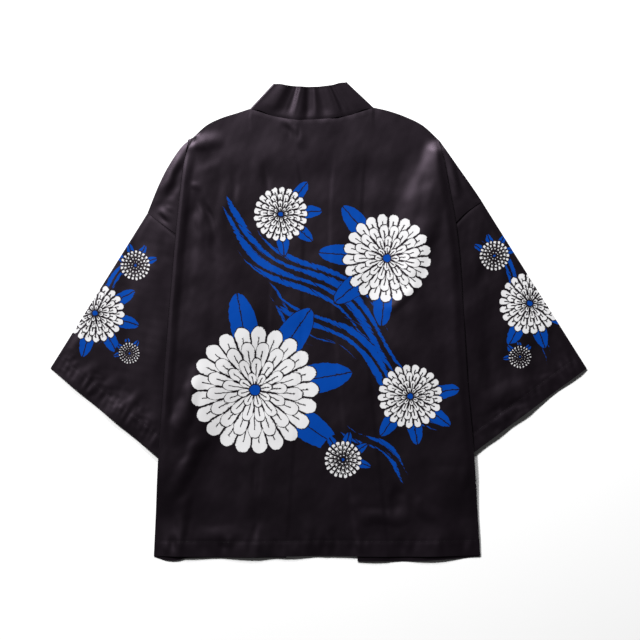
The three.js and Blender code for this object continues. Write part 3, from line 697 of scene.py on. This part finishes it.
def front_panel(side, material):
    hem = hem_at[side.name]
    shares = np.arange(FRONT_STEPS) / FRONT_STEPS
    rows, flats = [], []
    for section in fine_sections(2 * STEP):
        edge = side.sign * float(side.fold_at(section))
        y = float(section_height(section, side.apex.y, float(hem(edge))))
        path, flat = pleat(side, y, FRONT_RETURN, 1)
        outer = abs(path[0, 0])
        rough = lerp(float(side.band_seam_at(section)), outer, shares)
        at_top = lerp(side.neck.out, side.apex.out, shares)
        y = section_height(section, side.shoulder_at(at_top), hem(side.sign * rough))
        out = lerp(side.band_seam_at(y) + SEWN_GAP, outer, shares)
        z = front_height(side.sign * out, y) - (CLOTH - FINE_CLOTH) / 2
        ease = smooth((1 - shares) * 12)
        z = lerp(front_height(side.sign * out, y), z, ease)
        z = z + hem_relief(y - hem(side.sign * out), out, seed=51) * 0.6
        panel = side.xyz(out, y, z)
        rows.append(np.concatenate([panel, path]))
        flats.append(np.concatenate([plain_flat(panel), flat]))
    return shell(f"front_{side.name}_cloth", rows, flats, material, FINE_CLOTH, flipped=side.sign > 0)


# The sleeve: a flat tube, open at both ends.
SLEEVE_ROWS = 118
SLEEVE_COLUMNS = 96
LOWER_COLUMNS = 48
TUBE_STEPS = 7
TOP_EASE = 20
ARMHOLE_FADE = 0.25
SPLINE_STEPS = 40
NEAR = 0.01
# The fine sleeve's top fold lies this much nearer the outline, because its cloth is thinner.
FOLD_OUT = 0.2
# The hem's relief on the sleeve's lower layer, and a length for the shares across the sleeve.
LOWER_RELIEF = 0.2
CUFF_LENGTH = 300


def underarm_spline():
    """Points and tangents along the underarm edge, evenly spaced by share."""
    p = np.array(UNDERARM_EDGE, float)
    p = np.concatenate([[2 * p[0] - p[1]], p, [2 * p[-1] - p[-2]]])
    line = []
    for i in range(1, len(p) - 2):
        a, b, c, d = p[i - 1 : i + 3]
        square = 2 * a - 5 * b + 4 * c - d
        cube = 3 * b - a - 3 * c + d
        for t in np.arange(SPLINE_STEPS) / SPLINE_STEPS:
            line.append((2 * b + (c - a) * t + square * t**2 + cube * t**3) / 2)
    line = np.array([*line, p[-2]])
    run = np.concatenate([[0], np.cumsum(np.hypot(*np.diff(line, axis=0).T))])
    run = run / run[-1]

    def spot(share):
        return np.array([np.interp(share, run, line[:, k]) for k in range(2)])

    def at(share):
        way = spot(share + NEAR) - spot(share - NEAR)
        return spot(share), way / np.hypot(*way)

    return at


underarm_at = underarm_spline()


class Sleeve:
    """The sleeve's plan on one side, in out and y."""

    def __init__(self, side):
        self.side = side
        tip, cuff = np.array(side.tip, float), np.array(side.cuff, float)
        self.along = (cuff - tip) / np.hypot(*(cuff - tip))
        self.inward = -np.array([-self.along[1], self.along[0]])
        inset = PITCH / 2 + CLOTH / 2 - FOLD_OUT
        self.start = tip + self.along * FINE_SEAM + self.inward * inset
        self.end = cuff + self.inward * inset
        self.length = np.hypot(*(self.end - self.start))

    def plan(self, share, across):
        """Plan points at a share of the length, for shares across from the top fold to the underarm."""
        side = self.side
        top = lerp(self.start, self.end, share)
        bottom, way = underarm_at(share)
        bottom = bottom + np.array([0, side.look.cuff_skew * smooth(2 * share - 1)])
        plan = top + np.outer(across, bottom - top)
        out = lerp(side.tip.out, ARMHOLE_END.out, across)
        straight = lerp(side.tip.y, ARMHOLE_END.y, across)
        plan[:, 1] += (side.armhole_height_at(out) - straight) * max(0, 1 - share / ARMHOLE_FADE)
        return plan, top, bottom, way

    def detail(self, plan, share, across):
        x, y = self.side.sign * plan[:, 0], plan[:, 1]
        from_cuff = (1 - share) * self.length
        fine = folds(SLEEVE_CREASES, x, y) + drape(x, y, 61 + self.side.sign)
        fine = fine + crumple(self.side, from_cuff, x, y)
        fine = fine + hem_relief(from_cuff, across * CUFF_LENGTH, 71 + self.side.sign)
        fine = fine - SUNK * dome(share * self.length / SUNK_WIDTH)
        return fine * smooth(across * 16) * smooth((1 - across) * 16)

    def upper(self, plan, top):
        x, y = self.side.sign * plan[:, 0], plan[:, 1]
        ease = np.minimum(1, np.hypot(*(plan - top).T) / TOP_EASE)
        height = layer(1 + 2 * beside(self.side, *plan.T)) + folds(SLEEVE_FOLDS, x, y) * ease
        return height + lift(x, y)

    def lower(self, plan):
        return layer(2 * beside(self.side, *plan.T)) + lift(self.side.sign * plan[:, 0], plan[:, 1])


def sleeve(side, material):
    form = Sleeve(side)
    outward = -form.inward
    fine, coarse = np.linspace(0, 1, SLEEVE_COLUMNS + 1), np.linspace(1, 0, LOWER_COLUMNS + 1)
    angles = math.pi * (0.5 - np.arange(1, TUBE_STEPS + 1) / (TUBE_STEPS + 1))
    drop = (CLOTH - FINE_CLOTH) / 2 * smooth(coarse * 12) * smooth((1 - coarse) * 12)

    def bend(centre, aim, turned):
        """The tube's round edge, downwards where turned is 1 and upwards where it is -1."""
        spot = centre + np.outer(np.cos(angles), aim) * PITCH / 2
        middle = (form.upper(spot, spot) + form.lower(spot)) / 2
        return spot, middle + PITCH / 2 * np.sin(angles * turned)

    rows, flats = [], []
    for i in range(SLEEVE_ROWS + 1):
        share = i / SLEEVE_ROWS
        upper, top, bottom, way = form.plan(share, fine)
        under = form.plan(share, coarse)[0]
        relief = LOWER_RELIEF * hem_relief((1 - share) * form.length, coarse * CUFF_LENGTH, seed=75)
        parts = [
            (upper, form.upper(upper, top) + form.detail(upper, share, fine)),
            bend(bottom, np.array([way[1], -way[0]]), 1),
            (under, form.lower(under) - drop * (1 - beside(side, *under.T)) + relief),
            bend(top, outward, -1),
        ]
        plan, z = (np.concatenate(part) for part in zip(*parts))
        across = (plan - form.start) @ outward
        below = np.arange(len(plan)) > SLEEVE_COLUMNS + TUBE_STEPS
        unfolded = plan - 2 * np.outer(np.where(below, across, 0), outward)
        rows.append(side.xyz(*plan.T, z))
        flats.append(side.xyz(*unfolded.T, 0))
    name = f"sleeve_{side.name}_cloth"
    return shell(name, rows, flats, material, FINE_CLOTH, flipped=side.sign > 0, closed=True)


# The neckband: up one front, folded over at the crease, across the back and down the other front.
BAND_COLUMNS = 17
BAND_BACK_STEPS = 90
BAND_ENDS = 0.17
CREASE_STEPS = 9
# The band's unevenness on the fronts. Behind the neck its creases lean, and its two edges dip.
BAND_UNEVEN = 0.12
BAND_UNEVEN_LENGTH = 40
LEAN = 0.03
SEAM_DIP = 0.3
HEAD_DIP = 0.12


def neckband(material):
    lower = BAND / 2 - (BAND - FINE_BAND) / 2
    upper = BAND / 2 + BAND_PITCH
    across = np.linspace(0, 1, BAND_COLUMNS + 1)
    creases = []
    for side in SIDES:
        foot = np.array([side.sign * side.neck.out, side.neck.y])
        head = np.array([side.sign * side.collar.out, side.collar.y])
        run = head - foot
        outward = np.array([run[1], -run[0]]) / np.hypot(*run) * side.sign
        creases.append((foot - outward * CREASE_INSET, head - outward * CREASE_INSET, outward))

    def strip(foot, head, z):
        plan = foot + np.outer(across, head - foot)
        return xyz(*plan.T, z)

    def front_strips(side, crease):
        foot_at, head_at, _ = crease
        run = head_at - foot_at
        strips = []
        for section in fine_sections(2 * STEP):
            edge = side.sign * float(side.band_seam_at(section))
            y = float(section_height(section, foot_at[1], float(hem_at[side.name](edge))))
            share = float(smooth((foot_at[1] - y) / BAND_TURN))
            seam = float(side.band_seam_at(y))
            out = min(seam, lerp(abs(foot_at[0]), seam, share))
            slope = float(side.band_seam_at(y + 1) - side.band_seam_at(y - 1)) / 2
            square = np.array([-side.sign, slope])
            square = square / np.hypot(*square) * BAND_WIDTH
            square[1] *= 1 - float(smooth((LEVEL_BELOW - y) / (LEVEL_BELOW - HEM_LINE)))
            foot = np.array([side.sign * out, y])
            head = foot + lerp(run, square, share)
            plan = foot + np.outer(across, head - foot)
            wave = BAND_UNEVEN * ripple(*plan.T, BAND_UNEVEN_LENGTH, seed=81) * smooth(share)
            strips.append(strip(foot, head, lower + lift(*plan.T) + np.abs(wave)))
        return strips

    def crease_strips(crease):
        foot, head, outward = crease
        radius = (upper - lower) / 2
        strips = []
        for k in range(1, CREASE_STEPS + 1):
            angle = math.pi * (k / (CREASE_STEPS + 1) - 0.5)
            shift = outward * radius * math.cos(angle)
            strips.append(strip(foot + shift, head + shift, (upper + lower) / 2 + radius * math.sin(angle)))
        return strips

    left, right = creases
    back = []
    for share in np.linspace(0, 1, BAND_BACK_STEPS + 1):
        foot, head = lerp(left[0], right[0], share), lerp(left[1], right[1], share)
        in_ends = float(smooth(min(share, 1 - share) / BAND_ENDS))
        foot_y = lerp(foot[1], float(neck_seam_at(foot[0])), in_ends)
        head_y = lerp(head[1], float(collar_edge_at(head[0])), in_ends)
        z = upper + sum(w.height * dome(abs(share - w.at) / w.width) for w in BAND_WAVES)
        lean = sum(w.height * dome((share - w.at - LEAN * (across - 0.5)) / w.width) for w in BAND_CREASES)
        sewn = -SEAM_DIP * dome(across / 0.07) - HEAD_DIP * dome((across - 0.93) / 0.05)
        plan = np.array([foot[0], foot_y]), np.array([head[0], head_y])
        back.append(strip(*plan, z + (lean * smooth(across * 3) + sewn) * in_ends))
    rows = [
        *front_strips(LEFT, left)[::-1],
        *crease_strips(left),
        *back,
        *crease_strips(right)[::-1],
        *front_strips(RIGHT, right),
    ]
    rows = np.array(rows)
    return shell("neckband_cloth", rows, plain_flat(rows), material, FINE_BAND, flipped=True)


# The seam allowance of the armhole, pressed flat under the upper layer.
ALLOWANCE = 7
ALLOWANCE_DROP = 0.75
ALLOWANCE_CLOTH = 0.3


def seam_allowance(side, material):
    form = Sleeve(side)
    rows = []
    for across in np.linspace(0.02, 0.97, 60):
        plan = form.plan(0, np.array([across]))[0]
        centre = plan[0] - form.along * FINE_SEAM
        spot = centre + np.outer(np.linspace(-ALLOWANCE, ALLOWANCE, 5), form.along)
        out, y = spot.T
        x = side.sign * out
        rows.append(xyz(x, y, layer(1 + 2 * beside(side, out, y)) + lift(x, y) - ALLOWANCE_DROP))
    rows = np.array(rows)
    name = f"armhole_allowance_{side.name}"
    piece = shell(name, rows, plain_flat(rows), material, ALLOWANCE_CLOTH, flipped=side.sign > 0)
    return piece
# Sewing: short stitches along a route on the cloth, joined in one mesh. Each has two ends and four points
# round its middle.
STITCH = 2.9
STITCH_GAP = 0.9
THREAD = 0.2
ABOVE, BELOW = 4, 5
STITCH_ROUND = [(0, 2), (2, 1), (1, 3), (3, 0)]


def stitches(name, route, material):
    corners, faces = [], []
    run = np.concatenate([[0], np.cumsum(np.linalg.norm(np.diff(route, axis=0), axis=1))])
    for at in np.arange(0, run[-1] - STITCH, STITCH + STITCH_GAP):
        ends = [np.array([np.interp(t, run, route[:, k]) for k in range(3)]) for t in (at, at + STITCH)]
        way = (ends[1] - ends[0]) / np.linalg.norm(ends[1] - ends[0])
        flat = np.cross(way, [0, 0, 1])
        flat = flat / np.linalg.norm(flat) * THREAD
        middle = (ends[0] + ends[1]) / 2 + np.array([0, 0, THREAD])
        first = len(corners)
        low = middle - np.array([0, 0, 2 * THREAD])
        corners += [ends[0], ends[1], middle + flat, middle - flat, middle + [0, 0, THREAD / 2], low]
        for a, b in STITCH_ROUND:
            faces += [(first + a, first + b, first + ABOVE), (first + b, first + a, first + BELOW)]
    mesh = bpy.data.meshes.new(name)
    mesh.from_pydata((np.array(corners) * MM).tolist(), [], faces)
    mesh.polygons.foreach_set("use_smooth", [True] * len(mesh.polygons))
    mesh.materials.append(material)
    piece = placed(name, mesh)
    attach(piece, "root")
    return piece


def hem_route():
    x = np.arange(-float(LEFT.fold_at(HEM_LINE)) + 4, float(RIGHT.fold_at(HEM_LINE)) - 4, 3.0)
    y = hem_at["back"](x) + HEM
    z = back_height(x, y) + back_detail(x, y) + FINE_CLOTH / 2
    return xyz(x, y, z)


def cuff_route(side):
    form = Sleeve(side)
    share = 1 - HEM / form.length
    across = np.linspace(0.02, 0.98, 120)
    plan, top, _, _ = form.plan(share, across)
    z = form.upper(plan, top) + form.detail(plan, share, across) + FINE_CLOTH / 2
    return side.xyz(*plan.T, z)


Noise = namedtuple("Noise", "scale detail roughness")


class Value:
    """A value in a shader. Plain arithmetic with it makes Math nodes."""

    def __init__(self, sums, socket):
        self.sums, self.socket = sums, socket

    def __add__(self, other):
        return self.sums.math("ADD", self, other)

    def __sub__(self, other):
        return self.sums.math("SUBTRACT", self, other)

    def __rsub__(self, other):
        return self.sums.math("SUBTRACT", other, self)

    def __mul__(self, other):
        return self.sums.math("MULTIPLY", self, other)


class Sums:
    """Makes the nodes of one shader. What it takes and gives are Values, or numbers."""

    def __init__(self, tree):
        self.tree = tree

    def node(self, kind, **settings):
        made = self.tree.nodes.new(kind)
        for key, value in settings.items():
            setattr(made, key, value)
        return made

    def feed(self, socket, value):
        if isinstance(value, Value):
            self.tree.links.new(value.socket, socket)
        else:
            socket.default_value = value

    def out(self, node, name=0):
        return Value(self, node.outputs[name])

    def math(self, operation, *values):
        made = self.node("ShaderNodeMath", operation=operation)
        for socket, value in zip(made.inputs, values):
            self.feed(socket, value)
        return self.out(made)

    def vector(self, operation, *values, out=0):
        made = self.node("ShaderNodeVectorMath", operation=operation)
        for socket, value in zip(made.inputs, values):
            self.feed(socket, value)
        return self.out(made, out)

    def least(self, first, *others):
        for other in others:
            first = self.math("MINIMUM", first, other)
        return first

    def most(self, first, *others):
        for other in others:
            first = self.math("MAXIMUM", first, other)
        return first

    def choose(self, factor, a, b, kind="VECTOR"):
        made = self.node("ShaderNodeMix", data_type=kind)
        sockets = [s for s in made.inputs if s.enabled]
        self.feed(sockets[0], factor)
        self.feed(sockets[-2], a)
        self.feed(sockets[-1], b)
        return Value(self, [s for s in made.outputs if s.enabled][0])

    def noise(self, at, kind, output="Fac"):
        made = self.node("ShaderNodeTexNoise")
        self.feed(made.inputs["Vector"], at)
        for name, value in zip(("Scale", "Detail", "Roughness"), kind):
            made.inputs[name].default_value = value
        return self.out(made, output)

    def steps(self, value, low, high):
        """0 below low and 1 above high."""
        made = self.node("ShaderNodeMapRange", interpolation_type="SMOOTHSTEP")
        self.feed(made.inputs["Value"], value)
        made.inputs["From Min"].default_value = low
        made.inputs["From Max"].default_value = high
        return self.out(made, "Result")


# The print: white blossoms with blue leaves, over blue flowing water in brushed lines.
Blossom = namedtuple("Blossom", "x y radius")
Petals = namedtuple("Petals", "count reach point power turn")
PETALS = [
    Petals(8, 0.27, 0.14, 2.6, 0.3),
    Petals(13, 0.5, 0.14, 2.6, 0.0),
    Petals(17, 0.75, 0.13, 2.6, 0.45),
    Petals(21, 1.0, 0.12, 2.6, 0.2),
]
LEAVES = Petals(8, 1.55, 1.1, 1.7, 0.35)
EYE = 0.085
OUTLINE = 0.0016
# Rough edges, wear and dry brush marks of the print, in metres.
PRINT_WOBBLE = 0.0046
PRINT_WEAR = 0.0016
PRINT_SOFTNESS = 0.00035
BRUSH_SPLIT = 0.0045
# Water lines run along one slope in each group, inside a long oval of this length and width.
Stream = namedtuple("Stream", "x y length width bend phase")
PrintGroup = namedtuple("PrintGroup", "blossoms streams slope pitch")
BACK_PRINT = PrintGroup(
    blossoms=[
        Blossom(-104, -112, 104),
        Blossom(112, 104, 72),
        Blossom(-62, 176, 44),
        Blossom(150, -122, 52),
        Blossom(40, -226, 30),
    ],
    streams=[
        Stream(-8, 62, 430, 78, 20, 0.4),
        Stream(74, -62, 380, 62, 17, 2.2),
        Stream(-40, 4, 250, 34, 13, 4.0),
        Stream(100, -212, 190, 40, 10, 1.2),
    ],
    slope=-40,
    pitch=15.5,
)
SLEEVE_PRINTS = {
    "left": PrintGroup(
        blossoms=[Blossom(-366, 14, 48), Blossom(-300, 92, 24), Blossom(-310, -52, 17)],
        streams=[Stream(-340, 48, 210, 40, 9, 0.5), Stream(-352, -30, 150, 28, 8, 2.4)],
        slope=54,
        pitch=11,
    ),
    "right": PrintGroup(
        blossoms=[Blossom(346, 30, 50), Blossom(288, 108, 24), Blossom(330, -58, 18)],
        streams=[Stream(322, 66, 220, 40, 9, 3.4), Stream(356, -34, 150, 28, 8, 0.9)],
        slope=-54,
        pitch=11,
    ),
}


def nearest_blossom(s, at, blossoms):
    """The place in the nearest blossom, in its radii, with that radius in metres as the third number."""
    best, nearest = None, None
    for row in blossoms:
        radius = row.radius * MM
        scale = (1 / radius, 1 / radius, 0)
        local = s.vector("MULTIPLY_ADD", at, scale, (-row.x * MM / radius, -row.y * MM / radius, radius))
        away = s.vector("LENGTH", s.vector("MULTIPLY", local, (1, 1, 0)), out=1)
        if best is None:
            best, nearest = local, away
            continue
        best = s.choose(s.math("LESS_THAN", away, nearest), best, local)
        nearest = s.least(nearest, away)
    return best


def petal_layer(s, angle, away, line, row):
    """Three measures in radii: to the petals' rim, to their sides, and to their middle lines."""
    turned = angle * (row.count / (2 * math.pi)) + row.turn
    sideways = s.math("ABSOLUTE", s.math("FRACT", turned) - 0.5) * 2
    fall = s.math("POWER", sideways, row.power) * (row.point * 1.2)
    reach = row.reach - fall - away
    arc = away * (math.pi / row.count)
    gap = (1 - sideways) * arc - line
    vein = sideways * arc - line * 0.55
    return reach, gap, vein


def blossom_measures(s, at, blossoms):
    """White and blue measures of the blossoms in metres, above 0 inside, and how far outside a point lies."""
    parts = s.node("ShaderNodeSeparateXYZ")
    s.feed(parts.inputs[0], nearest_blossom(s, at, blossoms))
    u, v, radius = (s.out(parts, k) for k in range(3))
    away = s.math("SQRT", u * u + v * v)
    angle = s.math("ARCTAN2", v, u) + radius * 90
    line = s.math("DIVIDE", OUTLINE, radius)
    white, cover = None, None
    for row in PETALS:
        reach, gap, vein = petal_layer(s, angle, away, line, row)
        petal = s.least(reach, gap, s.most(vein, away - row.reach * 0.84))
        hidden = reach + line * 1.2
        white = petal if white is None else s.most(white, s.least(petal, cover * -1))
        cover = hidden if cover is None else s.most(cover, hidden)
    eye = EYE - away
    white = s.least(white, (eye + line) * -1)
    reach, gap, vein = petal_layer(s, angle, away, line, LEAVES)
    bare = s.steps(s.math("SINE", angle + 1.1), -0.25, 0.1)
    leaf = s.least(reach - bare * 0.9, gap, vein, cover * -1)
    outside = (s.most(cover, reach) * -1 - line * 1.5) * radius
    outside = s.most(outside, (cover * -1 - (1 - bare) * 9) * radius)
    return white * radius, s.most(leaf, eye) * radius, outside


def stream_measure(s, at, group):
    """Metres inside the brushed lines of flowing water."""
    slope = math.radians(group.slope)
    way, side = (math.cos(slope), math.sin(slope), 0), (-math.sin(slope), math.cos(slope), 0)
    along = s.vector("DOT_PRODUCT", at, way, out=1)
    across = s.vector("DOT_PRODUCT", at, side, out=1)
    pitch = group.pitch * MM
    total = None
    for row in group.streams:
        x, y = row.x * MM, row.y * MM
        half, width = row.length * MM / 2, row.width * MM / 2
        share = (along - (x * way[0] + y * way[1])) * (1 / half)
        bend = s.math("SINE", share * 4.4 + row.phase) * (row.bend * MM)
        off = across - (x * side[0] + y * side[1]) - bend
        envelope = s.math("SQRT", s.most(1 - share * share, 0)) * width - s.math("ABSOLUTE", off)
        rank = off * (1 / pitch)
        away = s.math("ABSOLUTE", s.math("FRACT", rank) - 0.5) * pitch
        swell = s.math("SINE", share * 6.5 + (s.math("FLOOR", rank) * 2.1 + row.phase))
        thick = (swell * 0.12 + 0.3) * pitch
        inside = s.steps(envelope, -0.001, 0.02)
        measure = (thick + 0.002) * inside - 0.002 - away
        total = measure if total is None else s.most(total, measure)
    brush = s.node("ShaderNodeCombineXYZ")
    s.feed(brush.inputs[0], along * 7)
    s.feed(brush.inputs[1], across * 480)
    bristle = s.noise(s.out(brush), Noise(1, 2, 0.5))
    return total - s.steps(bristle, 0.52, 0.74) * BRUSH_SPLIT


def print_masks(s, group):
    """White and blue amounts of the print, from 0 to 1, with the rough edges of screen printing."""
    flat = s.out(s.node("ShaderNodeAttribute", attribute_name=PRINT_AT), "Vector")
    wobble = s.vector("SUBTRACT", s.noise(flat, Noise(110, 3, 0.6), "Color"), (0.5, 0.5, 0.5))
    at = s.vector("MULTIPLY_ADD", wobble, (PRINT_WOBBLE, PRINT_WOBBLE, 0), flat)
    white, blue, outside = blossom_measures(s, at, group.blossoms)
    blue = s.most(blue, s.least(stream_measure(s, at, group), outside))
    speckle = s.noise(flat, Noise(380, 4, 0.75))
    patchy = s.steps(s.noise(flat, Noise(22, 2, 0.5)), 0.42, 0.66)
    worn = s.steps(speckle - patchy * 0.11, 0.53, 0.62) * PRINT_WEAR
    return [s.steps(ink - worn, -PRINT_SOFTNESS, PRINT_SOFTNESS) for ink in (white, blue)]


BLACK = (0.0011, 0.0006, 0.0011, 1)
BLACK_WORN = (0.0021, 0.0012, 0.0021, 1)
SATIN_TINT = (1, 0.78, 1, 1)
SATIN_GLOSS = 0.34
SATIN_ROUGH = 0.43
BAND_ROUGH = 0.38
ROUGH_RANGE = 0.08
INK_ROUGH = 0.1
WHITE_INK = (0.655, 0.65, 0.66, 1)
BLUE_INK = (0.001, 0.044, 0.29, 1)
WHITE_TINT = (1, 1, 1, 1)
BLUE_TINT = (0.1, 0.4, 1, 1)
THREAD_DARK, THREAD_LIGHT = (0.006, 0.005, 0.006, 1), (0.018, 0.016, 0.019, 1)
# The satin's fine diagonal lines and slubs, as a bump of this share and height in metres.
WEAVE_SCALE = 520
WEAVE_BUMP = 0.22
WEAVE_HEIGHT = 0.00012


def new_material(name):
    """A material, its shader, its sums and the place on the object."""
    material = bpy.data.materials.new(name)
    material.use_nodes = True
    s = Sums(material.node_tree)
    place = s.out(s.node("ShaderNodeTexCoord"), "Object")
    return material, material.node_tree.nodes["Principled BSDF"], s, place


def cloth_material(name, group=None, roughness=SATIN_ROUGH):
    """Black satin weave. Printed cloth has the print on it, a little duller than the weave."""
    material, shader, s, place = new_material(name)
    colour = s.choose(s.steps(s.noise(place, Noise(7, 3, 0.55)), 0.35, 0.7), BLACK, BLACK_WORN, "RGBA")
    rough = s.noise(place, Noise(45, 3, 0.6)) * ROUGH_RANGE + (roughness - ROUGH_RANGE / 2)
    shader.inputs["Specular Tint"].default_value = SATIN_TINT
    if group:
        white, blue = print_masks(s, group)
        colour = s.choose(white, s.choose(blue, colour, BLUE_INK, "RGBA"), WHITE_INK, "RGBA")
        rough = rough + s.most(white, blue) * INK_ROUGH
        tint = s.choose(white, s.choose(blue, SATIN_TINT, BLUE_TINT, "RGBA"), WHITE_TINT, "RGBA")
        s.feed(shader.inputs["Specular Tint"], tint)
    s.feed(shader.inputs["Base Color"], colour)
    s.feed(shader.inputs["Roughness"], rough)
    shader.inputs["Specular IOR Level"].default_value = SATIN_GLOSS
    warp = s.node("ShaderNodeTexWave", wave_type="BANDS", bands_direction="DIAGONAL")
    s.feed(warp.inputs["Vector"], place)
    warp.inputs["Scale"].default_value = WEAVE_SCALE
    warp.inputs["Distortion"].default_value = 0.6
    weave = s.out(warp, "Fac") * 0.6 + s.noise(place, Noise(900, 2, 0.6)) * 0.6
    bump = s.node("ShaderNodeBump")
    bump.inputs["Strength"].default_value = WEAVE_BUMP
    bump.inputs["Distance"].default_value = WEAVE_HEIGHT
    s.feed(bump.inputs["Height"], weave)
    s.feed(shader.inputs["Normal"], s.out(bump, "Normal"))
    return material


def matt_material(name, noise, dark, light, roughness):
    """Plain matt stuff, uneven between two colours."""
    material, shader, s, place = new_material(name)
    s.feed(shader.inputs["Base Color"], s.choose(s.noise(place, noise), dark, light, "RGBA"))
    shader.inputs["Roughness"].default_value = roughness
    return material


# The camera looks straight down, with the garment placed as in the photo.
VIEW_WIDTH = 1.0496
VIEW_CENTRE = (0.0025, 0.0026)
LENS = 85
SENSOR = 36


def camera():
    data = bpy.data.cameras.new("camera")
    data.lens = LENS
    data.sensor_width = SENSOR
    made = placed("camera", data)
    made.location = (*VIEW_CENTRE, VIEW_WIDTH * LENS / SENSOR)
    bpy.context.scene.camera = made


# Lamps at places in metres, aimed at the middle, with power in watts.
Lamp = namedtuple("Lamp", "name place size power")
LAMPS = [
    Lamp("key", (-2.75, 3.75, 4.1), 0.9, 505),
    Lamp("top", (-0.1, 1.9, 1.5), 0.8, 34),
]
AMBIENT = 0.05


def lights():
    for row in LAMPS:
        data = bpy.data.lights.new(row.name, "AREA")
        data.shape = "DISK"
        data.size = row.size
        data.energy = row.power
        made = placed(row.name, data)
        made.location = row.place
        made.rotation_euler = made.location.to_track_quat("Z", "Y").to_euler()
    world = bpy.data.worlds.new("studio")
    world.use_nodes = True
    background = world.node_tree.nodes["Background"]
    background.inputs["Color"].default_value = (1, 1, 1, 1)
    background.inputs["Strength"].default_value = AMBIENT
    bpy.context.scene.world = world
    bpy.context.scene.view_settings.view_transform = "Standard"


FLOOR = 8
FLOOR_DROP = 0.0003


def floor():
    mesh = bpy.data.meshes.new("floor")
    half = FLOOR / 2
    corners = [(x, y, -FLOOR_DROP) for x, y in ((-half, -half), (half, -half), (half, half), (-half, half))]
    mesh.from_pydata(corners, [], [(0, 1, 2, 3)])
    dark, light = (0.95, 0.95, 0.95, 1), (0.98, 0.98, 0.98, 1)
    mesh.materials.append(matt_material("pale_floor", Noise(2, 2, 0.5), dark, light, roughness=0.9))
    placed("floor", mesh)


# A record of a piece's cut in metres: its width, length and area.
Cut = namedtuple("Cut", "width length area")

camera()
lights()
floor()
plain = cloth_material("plain_satin")
band_satin = cloth_material("band_satin", roughness=BAND_ROUGH)
back_satin = cloth_material("back_satin", BACK_PRINT)
thread = matt_material("black_thread", Noise(1400, 2, 0.5), THREAD_DARK, THREAD_LIGHT, roughness=0.42)

pieces = {"back": back_panel(back_satin), "neckband": neckband(band_satin)}
for side in SIDES:
    pieces[f"front_{side.name}"] = front_panel(side, plain)
    sleeve_satin = cloth_material(f"sleeve_{side.name}_satin", SLEEVE_PRINTS[side.name])
    pieces[f"sleeve_{side.name}"] = sleeve(side, sleeve_satin)
sewing = {node: [] for node in pieces}
sewing["back"].append(stitches("hem_stitches", hem_route(), thread))
for side in SIDES:
    cuff = stitches(f"cuff_stitches_{side.name}", cuff_route(side), thread)
    sewing[f"sleeve_{side.name}"] += [cuff, seam_allowance(side, plain)]
for node, piece in pieces.items():
    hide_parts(node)
    "band" if node == "neckband" else "cloth"
    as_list(sewing[node])
